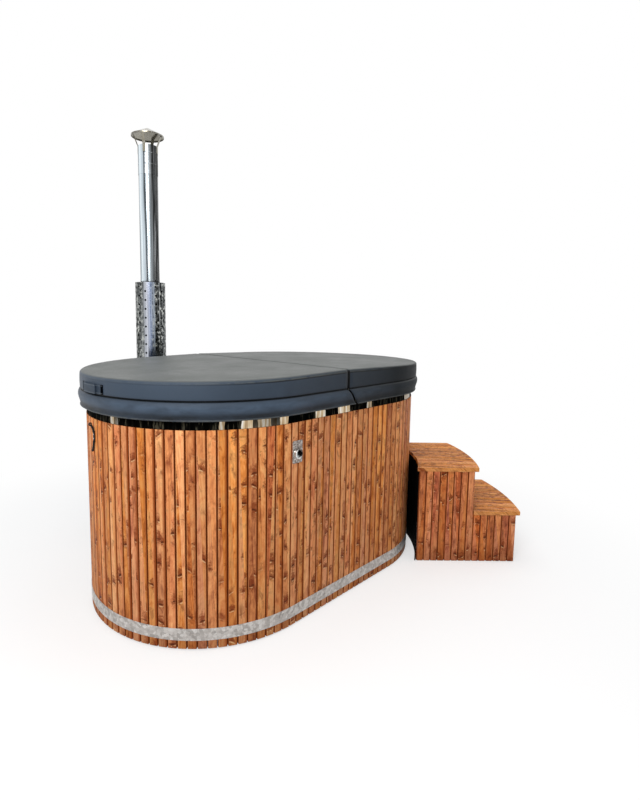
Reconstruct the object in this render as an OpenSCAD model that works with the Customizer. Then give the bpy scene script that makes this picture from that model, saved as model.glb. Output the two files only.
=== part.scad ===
// Wooden hot tub. An oval steel shell stands inside upright slats, under an insulated
// cover that folds across the middle. A wood-fired stove with its chimney stands behind
// it, and a two-tread step unit follows the tub's right-hand round end.
// Millimetres, +Z up. The origin is on the floor under the middle of the tub, +X runs
// along the tub towards the steps, and +Y points to the stove.

/* [Tub] */
// Length over the slats
tub_l = 1950; // [1700:10:2200]
// Width over the slats
tub_w = 1200; // [1100:10:1300]
// Height of the slats' top ends
slat_top = 930; // [880:5:980]
// Clearance between the slats' lower ends and the floor
slat_bottom = 6; // [3:1:12]
// Thickness of a slat
slat_t = 18; // [14:1:22]
// Wanted spacing of the slats
slat_pitch = 42; // [36:1:60]
// Where the first slat starts, as a share of the spacing
slat_phase = 0.77; // [0:0.01:1]
// Width of the open groove between two slats
groove_w = 5; // [2:0.5:6]
// Chamfer along a slat's front edges
slat_chamfer = 2; // [1:0.5:3]

/* [Hoop] */
// Height of the hoop's lower edge
band_z = 43; // [30:1:60]
// Width of the hoop
band_h = 52; // [40:1:60]
// Thickness of the hoop
band_t = 1.5; // [1:0.5:3]

/* [Inner frame] */
// Depth of the ring frames, which is also the depth of the insulation
ring_d = 30; // [24:1:45]
// Height of a ring frame
ring_h = 40; // [30:1:50]
// Height and width of a floor bearer
joist_s = 45; // [38:1:50]
// Thickness of the base board
base_t = 18; // [12:1:24]
// Thickness of the insulation under the shell
floor_foam_t = 47; // [30:1:60]

/* [Steel shell] */
// Thickness of the shell's sheet
steel_t = 1.5; // [1:0.5:3]
// Height of the rim
rim_z = 1048; // [1020:1:1080]
// How far the apron stands back from the slats' faces
apron_back = 3; // [2:0.5:6]
// Bend radius of the rim's outer edge
rim_bend = 10; // [6:1:14]

/* [Benches] */
// Height of the seat above the shell's floor
bench_h = 400; // [350:5:450]
// Depth of the seat from the round end
bench_d = 420; // [360:5:460]
// Thickness of a bench board
bench_t = 28; // [22:1:35]
// Width of the bench boards
bench_board = 76; // [60:1:90]
// Side of a bench leg
bench_leg = 44; // [36:1:50]

/* [Cover] */
// How far the cover stands out past the slats
cover_over = 24; // [16:1:30]
// Thickness of the panels at the fold
cover_mid_t = 94; // [80:1:110]
// Thickness of the panels at the round ends
cover_end_t = 76; // [60:1:80]
// Radius of the panels' top edge
cover_edge_r = 12; // [6:1:16]
// Drop of the skirt below the panels
skirt_h = 80; // [60:1:100]
// Thickness of the skirt
skirt_t = 4; // [3:0.5:6]
// How far the skirt bellies out
skirt_belly = 4; // [1:0.5:6]
// Where the fold lies, from the middle of the tub
fold_x = -50; // [-80:5:80]
// Width of the gap between the panels
fold_gap = 14; // [8:1:24]
// How far the slit in the skirt slants towards the right
slit_slant = 70; // [0:5:100]
// Length of a strap handle
strap_l = 190; // [150:5:240]
// Width of a strap handle
strap_h = 40; // [30:1:50]

/* [Fittings] */
// Height of the iron hook's upper arm over its middle
hook_up = 52; // [40:1:70]
// Depth of the hook's lower arm under its middle
hook_down = 61; // [45:1:75]
// How far the upper arm bends out
hook_out = 10.5; // [6:0.5:20]
// How far the lower arm bends out
hook_tail = 5.5; // [3:0.5:12]
// Radius of the hook's bar
hook_r = 4.5; // [3.5:0.5:6]
// Height of the hook's middle
hook_z = 853; // [760:1:860]
// Turn of the hook round the end from the long axis
hook_turn = 4; // [-10:1:10]
// Opener plate: width
plate_w = 61; // [50:1:70]
// Opener plate: height
plate_h = 100; // [90:1:130]
// Opener plate: thickness
plate_t = 2; // [1.5:0.5:3]
// Opener plate: distance of its middle from where the front turns round the left end
plate_in = 10; // [0:5:300]
// Opener plate: height of its middle
plate_z = 800; // [700:5:860]

/* [Water] */
// Outer radius of the water ports
port_r = 38; // [32:1:45]
// Height of the lower port
port_low_z = 215; // [190:5:260]
// Height of the upper port
port_high_z = 650; // [600:5:720]
// Outer radius of the drain pipe
drain_r = 20; // [16:1:25]
// Distance of the drain from where the back turns round the right end
drain_in = 75; // [60:5:150]
// Height of the drain
drain_z = 160; // [150:5:190]

/* [Stove] */
// Distance of the stove's middle from where the back turns round the left end
stove_in = 198; // [100:1:260]
// Gap between the tub and the stove
stove_gap = 147; // [125:1:200]
// Width of the stove
stove_w = 420; // [400:5:480]
// Depth of the stove
stove_d = 440; // [420:5:480]
// Height of the stove's top
stove_top = 850; // [820:5:880]
// Height of the stove's legs
stove_leg_h = 120; // [80:5:140]
// Thickness of the casing's sheet
casing_t = 3; // [2:0.5:4]
// Thickness of the firebox's plate
firebox_t = 5; // [4:0.5:8]
// Half width of the door opening
door_open_w = 135; // [120:1:140]
// Lower edge of the door opening
door_open_z0 = 405; // [400:5:430]
// Upper edge of the door opening
door_open_z1 = 695; // [640:5:720]
// Thickness of the stove door
door_t = 8; // [6:1:12]
// Width of the ash drawer
drawer_w = 262; // [220:2:264]
// Height of the ash drawer
drawer_h = 66; // [50:1:70]

/* [Chimney] */
// Outer radius of the flue
flue_r = 60; // [55:1:65]
// Thickness of the flue's sheet
flue_t = 1.2; // [1:0.1:2]
// Height of the joint between the flue's two lengths, above the heat shield
flue_joint_up = 10; // [5:1:40]
// Height of the chimney's mouth, at the collar's upper edge
mouth_z = 2457; // [2250:1:2600]
// Length of the collar
collar_h = 180; // [150:5:220]
// Radius of the rain cap
cap_r = 102; // [90:1:115]
// Height of the rain cap's brim above the chimney's mouth
cap_gap = 67; // [50:1:90]
// Rise of the rain cap's cone
cap_rise = 50; // [35:1:60]
// Radius of the heat shield
shield_r = 95; // [88:1:105]
// Height of the heat shield's upper edge
shield_top = 1594; // [1500:2:1600]
// Radius of the shield's holes
shield_hole_r = 7; // [4:0.5:9]
// Upright spacing of the shield's holes
shield_hole_pitch = 57; // [45:1:70]

/* [Steps] */
// Width of the step unit, over its sides
steps_w = 563; // [480:1:640]
// How far the unit lies off its arcs' centre line
steps_shift = 23; // [0:1:40]
// Direction in which the unit faces away from the tub
steps_turn = -45.3; // [-60:0.1:-30]
// Direction of the point where the unit comes nearest to the tub
steps_near = -26; // [-40:1:-10]
// Least gap between the unit and the slats
steps_gap = 14; // [8:1:40]
// Radius of the unit's hollow back
back_r = 872; // [800:2:950]
// Depth of the upper tread
upper_d = 336; // [300:1:380]
// Depth of the lower tread
lower_d = 260; // [220:1:300]
// How far a tread's nose stands out
nosing = 19; // [10:1:30]
// Height of the upper tread
upper_z = 551; // [500:1:600]
// Height of the lower tread
lower_z = 299; // [260:1:320]
// Thickness of a tread board
tread_t = 21; // [18:1:28]
// Number of boards in a tread
tread_boards = 8; // [6:1:10]
// Side of the unit's frame timbers
post_s = 40; // [32:1:45]

/* [Hidden] */
$fn = 96;

wood = [0.62, 0.36, 0.18];
pale_wood = [0.78, 0.60, 0.38];
steel = [0.78, 0.80, 0.82];
zinc = [0.62, 0.64, 0.65];
iron = [0.08, 0.08, 0.08];
vinyl = [0.24, 0.27, 0.30];
foam = [0.85, 0.80, 0.55];
black = [0.05, 0.05, 0.05];

// Clearances
seat = 0.3;          // between soft or moving pieces and what they rest on
fit = 0.2;           // between fixed pieces that are pushed together
run = 0.05;          // radial clearance of a pin or spindle in its hole
eps = 1;             // how far a cutting tool reaches past what it cuts

// Chimney levels
flue_joint_z = shield_top + flue_joint_up;
collar_z1 = mouth_z;
collar_z0 = mouth_z - collar_h;
cap_z = mouth_z + cap_gap;

// The oval: two half circles of radius end_r about (+-half_straight, 0)
end_r = tub_w / 2;
half_straight = tub_l / 2 - end_r;
plate_x = plate_in - half_straight;
drain_x = half_straight - drain_in;
stove_x = stove_in - half_straight;
slat_in_r = end_r - slat_t;
perimeter = 4 * half_straight + 2 * PI * end_r;
slat_count = round(perimeter / slat_pitch);
pitch = perimeter / slat_count;
frame_r = slat_in_r - fit;
wall_r = slat_in_r - ring_d;
shell_r = wall_r - fit;
water_r = shell_r - steel_t;
base_z = joist_s;
foam_z = base_z + base_t;
floor_z = foam_z + floor_foam_t;
shell_floor_z = floor_z + steel_t;
ring_z = [base_z, (floor_z + slat_top) / 2 - ring_h / 2, slat_top - ring_h - 20];
apron_r = end_r - apron_back;

// Stove levels and faces
stove_back = end_r + stove_gap;
flue_y = stove_back + stove_d / 2;
stove_front = stove_back + stove_d;
water_gap = 47;
fire_w = stove_w / 2 - casing_t - water_gap;
fire_back = stove_back + casing_t + water_gap;
fire_front = stove_front - casing_t;
fire_z0 = stove_leg_h + casing_t + 139;
fire_z1 = stove_top - casing_t - 57;
fire_floor = fire_z0 + firebox_t;
grate_z = door_open_z0 - 38;
grate_t = 12;
door_w = door_open_w + 43;
door_z0 = door_open_z0 - 25;
door_z1 = door_open_z1 + 25;
gasket_t = 6;
door_y = stove_front + gasket_t;
hinge_x = -(door_w + 17);
hinge_y = door_y + door_t / 2;
hinge_r = 9;
hinge_pin_r = 5;
hinge_h = 28;
latch_x = door_w - 28;
latch_z = (door_open_z0 + door_open_z1) / 2;
latch_rest = 50;
spindle_r = 6;

// ---------------------------------------------------------------- shared shapes

// Sweeps a profile round the oval; the profile's x is the distance from the end's centre
module oval_sweep() {
    for (turn = [0, 180])
        rotate([0, 0, turn]) {
            translate([half_straight, 0, 0])
                rotate([0, 0, -90])
                    rotate_extrude(angle = 180)
                        children();
            translate([-half_straight, 0, 0])
                rotate([90, 0, 90])
                    linear_extrude(2 * half_straight)
                        children();
        }
}

module oval_ring(r_in, r_out, z, h) {
    oval_sweep()
        translate([r_in, z])
            square([r_out - r_in, h]);
}

module oval_plate(r, z, h) {
    translate([-half_straight, -r, z])
        cube([2 * half_straight, 2 * r, h]);
    for (turn = [0, 180])
        rotate([0, 0, turn])
            translate([half_straight, 0, z])
                rotate([0, 0, -90])
                    rotate_extrude(angle = 180)
                        square([r, h]);
}

// Places children at arc length s from the left tip, walking along the front, x outwards
module on_oval(s) {
    quarter = PI * end_r / 2;
    side = 2 * half_straight;
    if (s < quarter)
        at_end(-1, 180 + s / end_r * 180 / PI) children();
    else if (s < quarter + side)
        translate([s - quarter - half_straight, -end_r, 0])
            rotate([0, 0, -90])
                children();
    else if (s < 3 * quarter + side)
        at_end(1, -90 + (s - quarter - side) / end_r * 180 / PI) children();
    else if (s < 3 * quarter + 2 * side)
        translate([half_straight - (s - 3 * quarter - side), end_r, 0])
            rotate([0, 0, 90])
                children();
    else
        at_end(-1, 90 + (s - 3 * quarter - 2 * side) / end_r * 180 / PI) children();
}

module at_end(side, angle) {
    translate([side * half_straight, 0, 0])
        rotate([0, 0, angle])
            translate([end_r, 0, 0])
                children();
}

// A rebated slat: x is outwards with the face at 0, y runs across, and it stands on z = 0
module slat(h, face_w, back_w) {
    linear_extrude(h)
        polygon([
            [0, slat_chamfer - face_w / 2],
            [0, face_w / 2 - slat_chamfer],
            [-slat_chamfer, face_w / 2],
            [-slat_t / 2, face_w / 2],
            [-slat_t / 2, back_w / 2],
            [-slat_t, back_w / 2],
            [-slat_t, -back_w / 2],
            [-slat_t / 2, -back_w / 2],
            [-slat_t / 2, -face_w / 2],
            [-slat_chamfer, -face_w / 2]
        ]);
}

// A tube that stands on z
module tube(r_out, r_in, z, h) {
    translate([0, 0, z])
        difference() {
            cylinder(r = r_out, h = h);
            translate([0, 0, -eps])
                cylinder(r = r_in, h = h + 2 * eps);
        }
}

// Turns children that stand on +Z so that they run along +Y from y
module along_y(x, y, z) {
    translate([x, y, z])
        rotate([-90, 0, 0])
            children();
}

module box(x0, x1, y0, y1, z0, z1) {
    translate([x0, y0, z0])
        cube([x1 - x0, y1 - y0, z1 - z0]);
}

// ---------------------------------------------------------------- slats and hoop

port_clear = 1;        // between a slat and a port
drain_clear = 7;       // and between a slat and the drain, which is fitted last
quarter_s = PI * end_r / 2;
side_s = 2 * half_straight;
function slat_s(i) = (i + slat_phase + 0.5) * pitch % perimeter;
function slat_group(s) =
    s < quarter_s ? "left" :
    s < quarter_s + side_s ? "front" :
    s < 3 * quarter_s + side_s ? "right" :
    s < 3 * quarter_s + 2 * side_s ? "back" : "left";

// Whether the slat at s is cut by one of the holes in the back wall
function is_bored(s) =
    let (x = half_straight - (s - 3 * quarter_s - side_s))
    slat_group(s) == "back"
        && min(abs(x - stove_x) - port_r - port_clear, abs(x - drain_x) - drain_r - drain_clear) < pitch / 2;

module slats(group, bored = false) {
    round_end = group == "left" || group == "right";
    back_w = (round_end ? pitch * slat_in_r / end_r : pitch) - 2 * fit;
    color(wood)
        for (i = [0:slat_count - 1])
            if (slat_group(slat_s(i)) == group && is_bored(slat_s(i)) == bored)
                translate([0, 0, slat_bottom])
                    on_oval(slat_s(i))
                        slat(slat_top - slat_bottom, pitch - groove_w, back_w);
}

module slats_front() {
    slats("front");
}

module slats_back() {
    slats("back");
}

// The slats of the back that the water ports and the drain pass through
module slats_bored() {
    difference() {
        slats("back", true);
        wall_holes(port_r + port_clear, drain_r + drain_clear);
    }
}

module slats_left() {
    slats("left");
}

module slats_right() {
    slats("right");
}

// Cutting cylinders for everything that passes through the back wall
module wall_holes(r_port, r_drain) {
    for (z = [port_low_z, port_high_z])
        along_y(stove_x, water_r - 10, z)
            cylinder(r = r_port, h = end_r - water_r + 20);
    along_y(drain_x, water_r - 10, drain_z)
        cylinder(r = r_drain, h = end_r - water_r + 20);
}

band_in_r = end_r + 0.5;
lug_x = half_straight - 125;
lug_l = 60;

// The hoop, with its riveted lap on the back
module hoop_band() {
    color(zinc) {
        oval_ring(band_in_r, band_in_r + band_t, band_z, band_h);
        box(lug_x, lug_x + lug_l, band_in_r + band_t, band_in_r + 2 * band_t, band_z, band_z + band_h);
    }
}

module hoop_bolts() {
    color(zinc)
        for (x = [lug_x + 15, lug_x + lug_l - 15])
            for (z = [band_z + 14, band_z + band_h - 14])
                along_y(x, band_in_r + 2 * band_t, z)
                    rotate_extrude()
                        polygon([[0, 0], [6, 0], [5.2, 2], [3, 3.4], [0, 4]]);
}

// ---------------------------------------------------------------- inner frame

joist_n = 3;
joist_step = 280;
function chord(r, x) = abs(x) <= half_straight ? r : sqrt(r * r - pow(abs(x) - half_straight, 2));

module joists() {
    color(pale_wood)
        for (i = [-joist_n:joist_n]) {
            half_l = chord(frame_r, abs(i) * joist_step + joist_s / 2) - 1;
            box(i * joist_step - joist_s / 2, i * joist_step + joist_s / 2, -half_l, half_l, 0, joist_s);
        }
}

module base_board() {
    color(pale_wood)
        oval_plate(wall_r - fit, base_z, base_t);
}

module ring_frames() {
    color(pale_wood)
        for (z = ring_z)
            oval_ring(wall_r, frame_r, z, ring_h);
}

module floor_insulation() {
    color(foam)
        oval_plate(wall_r - fit, foam_z, floor_foam_t);
}

module wall_insulation() {
    color(foam)
        difference() {
            for (i = [0, 1])
                oval_ring(wall_r + fit, frame_r - fit, ring_z[i] + ring_h + fit,
                    ring_z[i + 1] - ring_z[i] - ring_h - 2 * fit);
            wall_holes(port_r + 1, drain_r + 1);
        }
}

rim_ring_h = 40;
rim_block_l = 90;
rim_block_n = 18;
rim_ring_z0 = rim_z - steel_t - fit - rim_ring_h;

// The timber ring under the rim
module rim_ring() {
    color(pale_wood)
        oval_ring(wall_r, apron_r - rim_bend, rim_ring_z0, rim_ring_h);
}

// The blocks that carry the ring on the slats' ends
module rim_blocks() {
    color(pale_wood)
        for (i = [0:rim_block_n - 1])
            translate([0, 0, slat_top])
                on_oval((i + 0.5) * perimeter / rim_block_n)
                    translate([-slat_t - ring_d / 2, -rim_block_l / 2, 0])
                        cube([ring_d / 2 + slat_t - apron_back - steel_t - 4, rim_block_l, rim_ring_z0 - slat_top]);
}

// ---------------------------------------------------------------- steel shell

module shell_floor() {
    color(steel)
        oval_plate(shell_r, floor_z, steel_t);
}

module shell_wall() {
    color(steel)
        difference() {
            oval_ring(water_r, shell_r, shell_floor_z, rim_z - steel_t - shell_floor_z);
            wall_holes(port_r + fit, drain_r + fit);
        }
}

// An L with a rounded corner, out to x and up to z
module rim_corner(x, z, r) {
    translate([0, slat_top + 1])
        square([x - r, z - slat_top - 1]);
    translate([x - r - eps, slat_top + 1])
        square([r + eps, z - r - slat_top - 1]);
    translate([x - r, z - r])
        circle(r = r);
}

module shell_rim() {
    color(steel)
        oval_sweep()
            difference() {
                intersection() {
                    rim_corner(apron_r, rim_z, rim_bend);
                    translate([water_r, slat_top])
                        square([apron_r, rim_z]);
                }
                rim_corner(apron_r - steel_t, rim_z - steel_t, rim_bend - steel_t);
            }
}

// ---------------------------------------------------------------- benches

bench_z = shell_floor_z + bench_h;
bench_r = water_r - 5;
board_gap = 8;

module bench_boards() {
    boards = floor((bench_d + board_gap) / (bench_board + board_gap));
    color(pale_wood)
        for (turn = [0, 180])
            rotate([0, 0, turn])
                intersection() {
                    translate([half_straight, 0, 0])
                        cylinder(r = bench_r, h = rim_z);
                    for (i = [0:boards - 1])
                        translate([half_straight + bench_r - (i + 1) * (bench_board + board_gap), -bench_r, bench_z - bench_t])
                            cube([bench_board, 2 * bench_r, bench_t]);
                }
}

rail_y = 200;
rail_h = 50;

module bench_frames() {
    x1 = half_straight + sqrt(bench_r * bench_r - pow(rail_y + bench_leg, 2));
    x0 = half_straight + bench_r - bench_d;
    rail_z = bench_z - bench_t - rail_h;
    color(pale_wood)
        for (turn = [0, 180])
            rotate([0, 0, turn])
                for (side = [-1, 1]) {
                    y0 = side * rail_y - bench_leg / 2;
                    box(x0, x1, y0, y0 + bench_leg, rail_z, bench_z - bench_t);
                    for (x = [x0 + 20, x1 - 20 - bench_leg])
                        box(x, x + bench_leg, y0, y0 + bench_leg, shell_floor_z, rail_z);
                }
}

// ---------------------------------------------------------------- fittings

hook_gap = 0.5;
hook_strap_t = 5;
hook_strap_w = 14;
hook_strap_h = 52;
hook_root = 18;        // the arms start this far from the middle
hook_eye_r = 5;
hook_eye_bar = 3.2;

function bend_r(rise, out) = (rise * rise + out * out) / (2 * out);
function bend_a(rise, out) = asin(rise / bend_r(rise, out));

// Places the hook's parts on the left end: +X out of the wall, +Z up
module at_hook() {
    translate([-half_straight, 0, hook_z])
        rotate([0, 0, 180 - hook_turn])
            translate([end_r + hook_gap, 0, 0])
                children();
}

// A round bar that bends out of the wall as it rises
module hook_arm(rise, out) {
    r = bend_r(rise, out);
    translate([r + hook_r, 0, hook_root])
        mirror([1, 0, 0])
            rotate([90, 0, 0])
                rotate_extrude(angle = bend_a(rise, out))
                    translate([r, 0])
                        circle(r = hook_r);
}

// The forged hook: a flat middle, an upper arm with an eye and a lower arm with a ball
module iron_hook() {
    rise = hook_up - hook_root;
    lean = bend_a(rise, hook_out);
    color(iron)
        at_hook() {
            box(0, hook_strap_t, -hook_strap_w / 2, hook_strap_w / 2, -hook_strap_h / 2, hook_strap_h / 2);
            hook_arm(rise, hook_out);
            translate([hook_r + hook_out + hook_eye_r * sin(lean), 0, hook_up + hook_eye_r * cos(lean)])
                rotate([90, 0, 0])
                    rotate_extrude()
                        translate([hook_eye_r, 0])
                            circle(r = hook_eye_bar);
            mirror([0, 0, 1])
                hook_arm(hook_down - hook_root, hook_tail);
            translate([hook_r + hook_tail, 0, -hook_down])
                sphere(r = hook_r + 1);
        }
}

module screw_head(r, h) {
    rotate_extrude()
        polygon([[0, 0], [r, 0], [r, h * 0.35], [r * 0.6, h], [0, h]]);
}

plate_corner = 7;
plate_off = 0.4;       // clears the slats' corners where they start to turn
plate_y = -end_r - plate_off - plate_t;
cup_z = -8;
cup_r = 23.5;
cup_bore_r = 16;
cup_out = 12;

// The steel plate on the front, with its raised round cup
module opener_plate() {
    color(steel)
        translate([plate_x, plate_y, plate_z]) {
            rotate([-90, 0, 0])
                linear_extrude(plate_t)
                    rounded_rect(plate_w, plate_h, plate_corner);
            along_y(0, -cup_out, cup_z)
                rotate_extrude()
                    polygon([
                        [cup_bore_r, cup_out + 1],
                        [cup_bore_r, 1.5],
                        [cup_bore_r + 1.5, 0],
                        [cup_r - 3, 0],
                        [cup_r - 1.5, 1.5],
                        [cup_r, cup_out + 1]
                    ]);
        }
}

module rounded_rect(w, h, r) {
    difference() {
        square([w, h], center = true);
        for (x = [-1, 1])
            for (y = [-1, 1])
                translate([x * (w / 2 - r / 2 + eps / 2), y * (h / 2 - r / 2 + eps / 2)])
                    square(r + eps, center = true);
    }
    for (x = [-1, 1])
        for (y = [-1, 1])
            intersection() {
                translate([x * (w / 2 - r), y * (h / 2 - r)])
                    circle(r = r);
                translate([x * (w / 2 - r / 2), y * (h / 2 - r / 2)])
                    square(r, center = true);
            }
}

// The screws that hold the hook and the plate
module trim_screws() {
    color(steel) {
        at_hook()
            for (z = [-1, 1])
                translate([hook_strap_t, 0, z * hook_root / 2])
                    rotate([0, 90, 0])
                        screw_head(2.8, 1.8);
        for (x = [-1, 1])
            for (z = [-1, 1])
                translate([plate_x + x * (plate_w / 2 - 8), plate_y, plate_z + z * (plate_h / 2 - 8)])
                    rotate([90, 0, 0])
                        screw_head(2.8, 1.8);
    }
}

// ---------------------------------------------------------------- water ports and drain

port_out = 60;
port_t = 1.5;
hose_t = 4;
hose_inset = 25;
port_flange_r = 50;

// Pipe stubs through the wall, each with a flange against the shell's inside
module tub_ports() {
    color(steel)
        for (z = [port_low_z, port_high_z])
            along_y(stove_x, 0, z)
                rotate_extrude()
                    polygon([
                        [port_r - port_t, water_r - 3],
                        [port_flange_r, water_r - 3],
                        [port_flange_r, water_r],
                        [port_r, water_r],
                        [port_r, end_r + port_out],
                        [port_r - port_t, end_r + port_out]
                    ]);
}

strainer_d = 14;
strainer_hole_r = 4;

module port_strainers() {
    color(steel)
        for (z = [port_low_z, port_high_z])
            along_y(stove_x, water_r - 3 - strainer_d, z)
                difference() {
                    cylinder(r = port_flange_r - 4, h = strainer_d);
                    translate([0, 0, 2])
                        cylinder(r = port_flange_r - 6, h = strainer_d);
                    for (ring = [1, 2])
                        for (i = [0:6 * ring - 1])
                            rotate([0, 0, i * 60 / ring])
                                translate([ring * 15, 0, -eps])
                                    cylinder(r = strainer_hole_r, h = 4, $fn = 24);
                }
}

// Stubs on the stove's back, in line with the tub's
module stove_ports() {
    color(steel)
        for (z = [port_low_z, port_high_z])
            along_y(stove_x, 0, z)
                rotate_extrude()
                    polygon([
                        [port_r - port_t, stove_back - port_out],
                        [port_r, stove_back - port_out],
                        [port_r, stove_back - 3],
                        [port_r + 12, stove_back - 3],
                        [port_r + 12, stove_back],
                        [port_r, stove_back],
                        [port_r, stove_back + casing_t],
                        [port_r - port_t, stove_back + casing_t]
                    ]);
}

hose_y0 = end_r + hose_inset;
hose_y1 = stove_back - hose_inset;

module port_hoses() {
    color(black)
        for (z = [port_low_z, port_high_z])
            along_y(stove_x, 0, z)
                tube(port_r + 0.1 + hose_t, port_r + 0.1, hose_y0, hose_y1 - hose_y0);
}

clamp_w = 12;
clamp_in_r = port_r + 0.1 + hose_t + 0.1;

module hose_clamps() {
    color(steel)
        for (z = [port_low_z, port_high_z])
            for (y = [hose_y0 + 8, hose_y1 - 8 - clamp_w])
                along_y(stove_x, 0, z) {
                    tube(clamp_in_r + 1.2, clamp_in_r, y, clamp_w);
                    translate([-10, clamp_in_r + 1, y])
                        cube([20, 8, clamp_w]);
                }
}

drain_t = 3;
drain_end = end_r + 45;
valve_l = 90;
valve_r = 28;
spigot_r = 16;
spigot_l = 35;
ball_r = 17;
ball_bore = 11;
stem_r = 5;
lever_l = 95;
lever_up = 34;
valve_mid = drain_end - 15 + valve_l / 2;

module drain_pipe() {
    color(steel)
        along_y(drain_x, 0, drain_z)
            rotate_extrude()
                polygon([
                    [drain_r - drain_t, water_r - 3],
                    [drain_r + 10, water_r - 3],
                    [drain_r + 10, water_r],
                    [drain_r, water_r],
                    [drain_r, drain_end],
                    [drain_r - drain_t, drain_end]
                ]);
}

// The valve's body: a socket on the pipe, a chamber for the ball and a spigot for a hose
module drain_valve() {
    y0 = valve_mid - valve_l / 2;
    y1 = valve_mid + valve_l / 2;
    color([0.75, 0.62, 0.30])
        difference() {
            union() {
                along_y(drain_x, 0, drain_z)
                    rotate_extrude()
                        polygon([
                            [0, y0], [drain_r + 5, y0], [drain_r + 5, y0 + 18],
                            [valve_r, y0 + 26], [valve_r, y1 - 26], [spigot_r + 6, y1 - 14],
                            [spigot_r + 6, y1], [spigot_r, y1], [spigot_r, y1 + spigot_l], [0, y1 + spigot_l]
                        ]);
                translate([drain_x, valve_mid, drain_z])
                    cylinder(r = stem_r + 5, h = lever_up - 1);
            }
            along_y(drain_x, y0 - eps, drain_z)
                cylinder(r = drain_r + 0.1, h = 15 + eps);
            along_y(drain_x, y0, drain_z)
                cylinder(r = ball_bore, h = valve_l + spigot_l + eps);
            translate([drain_x, valve_mid, drain_z])
                sphere(r = ball_r + seat);
            translate([drain_x, valve_mid, drain_z])
                cylinder(r = stem_r + run, h = lever_up + eps);
        }
}

module drain_ball() {
    color(steel)
        translate([drain_x, valve_mid, drain_z])
            rotate([0, 90, 0])
                rotate_extrude()
                    intersection() {
                        circle(r = ball_r);
                        translate([ball_bore, -ball_r])
                            square([ball_r, 2 * ball_r]);
                    }
}

// The lever lies across the pipe when the valve is shut
module drain_lever() {
    color([0.6, 0.05, 0.04])
        translate([drain_x, valve_mid, drain_z]) {
            translate([0, 0, ball_r])
                cylinder(r = stem_r, h = lever_up - ball_r);
            translate([0, 0, lever_up])
                linear_extrude(4) {
                    circle(r = 12);
                    translate([0, -7])
                        square([lever_l - 7, 14]);
                    translate([lever_l - 7, 0])
                        circle(r = 7);
                }
        }
}

// ---------------------------------------------------------------- cover

cover_r = end_r + cover_over;
cover_z = rim_z + seat;
cover_half_l = half_straight + cover_r;
cover_slope = (cover_mid_t - cover_end_t) / (cover_half_l + abs(fold_x));
edge_steps = [0, 30, 60, 90];
panel_arc_n = 48;
skirt_z = cover_z - skirt_h;

// Half of the oval from the cut at x round the right-hand end, drawn in by inset
function half_oval(x, inset) = concat(
    [[x + inset / 2, inset - cover_r]],
    [for (i = [0:panel_arc_n])
        let (a = -90 + 180 * i / panel_arc_n)
        [half_straight + (cover_r - inset) * cos(a), (cover_r - inset) * sin(a)]],
    [[x + inset / 2, cover_r - inset]]
);

// A tapered foam panel in its skin, built up in layers of [inset, height, share of the slope]
module cover_panel(side) {
    cut = side * fold_x + fold_gap / 2;
    layers = concat(
        [[3, 0, 0], [0, 5, 0]],
        [for (a = edge_steps)
            [cover_edge_r * (1 - cos(a)), cover_mid_t - cover_edge_r * (1 - sin(a)), 1]]
    );
    n = len(half_oval(cut, 0));
    last = len(layers) - 1;
    color(vinyl)
        rotate([0, 0, side > 0 ? 0 : 180])
            polyhedron(
                points = [for (layer = layers, p = half_oval(cut, layer[0]))
                    [p[0], p[1], cover_z + layer[1] - layer[2] * cover_slope * (p[0] - side * fold_x)]],
                faces = concat(
                    [[for (i = [0:n - 1]) i]],
                    [for (j = [0:last - 1], i = [0:n - 1])
                        let (k = (i + 1) % n)
                        [j * n + i, (j + 1) * n + i, (j + 1) * n + k, j * n + k]],
                    [[for (i = [n - 1:-1:0]) last * n + i]]
                )
            );
}

// The part of the skirt on one side of the slanting slit
module skirt_half(side) {
    top_x = fold_x + side * fold_gap / 2;
    foot_x = top_x + slit_slant;
    far = side * 2 * cover_half_l;
    color(vinyl)
        intersection() {
            oval_sweep()
                polygon([
                    [cover_r, cover_z],
                    [cover_r + skirt_belly, cover_z - skirt_h * 0.35],
                    [cover_r + skirt_belly * 0.8, cover_z - skirt_h * 0.65],
                    [cover_r, skirt_z],
                    [cover_r - skirt_t, skirt_z],
                    [cover_r - skirt_t + skirt_belly * 0.8, cover_z - skirt_h * 0.65],
                    [cover_r - skirt_t + skirt_belly, cover_z - skirt_h * 0.35],
                    [cover_r - skirt_t, cover_z]
                ]);
            translate([0, cover_half_l, 0])
                rotate([90, 0, 0])
                    linear_extrude(2 * cover_half_l)
                        polygon([[far, skirt_z - 1], [foot_x, skirt_z - 1], [top_x, cover_z + 1], [far, cover_z + 1]]);
        }
}

strap_t = 3;
strap_bow = 10;
strap_pad = 45;

// A webbing handle on a panel's round end: two sewn ends and a bowed middle
module cover_strap(side) {
    half_a = strap_l / 2 / cover_r * 180 / PI;
    pad_a = strap_pad / cover_r * 180 / PI;
    z = cover_z + 6;
    color(vinyl)
        translate([side * half_straight, 0, z])
            rotate([0, 0, side > 0 ? 0 : 180]) {
                for (flip = [0, 1])
                    mirror([0, flip, 0])
                        rotate([0, 0, half_a - pad_a])
                            rotate_extrude(angle = pad_a)
                                translate([cover_r + seat, 0])
                                    square([strap_t, strap_h]);
                rotate([0, 0, -half_a + pad_a - 0.3])
                    rotate_extrude(angle = 2 * (half_a - pad_a) + 0.6)
                        translate([cover_r + seat + strap_bow, 0])
                            square([strap_t, strap_h]);
                for (flip = [0, 1])
                    mirror([0, flip, 0])
                        rotate([0, 0, half_a - pad_a])
                            translate([cover_r + seat, -strap_t, 0])
                                cube([strap_bow + strap_t, strap_t + eps, strap_h]);
            }
}

// ---------------------------------------------------------------- stove

casing_chamfer = 15;

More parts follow.
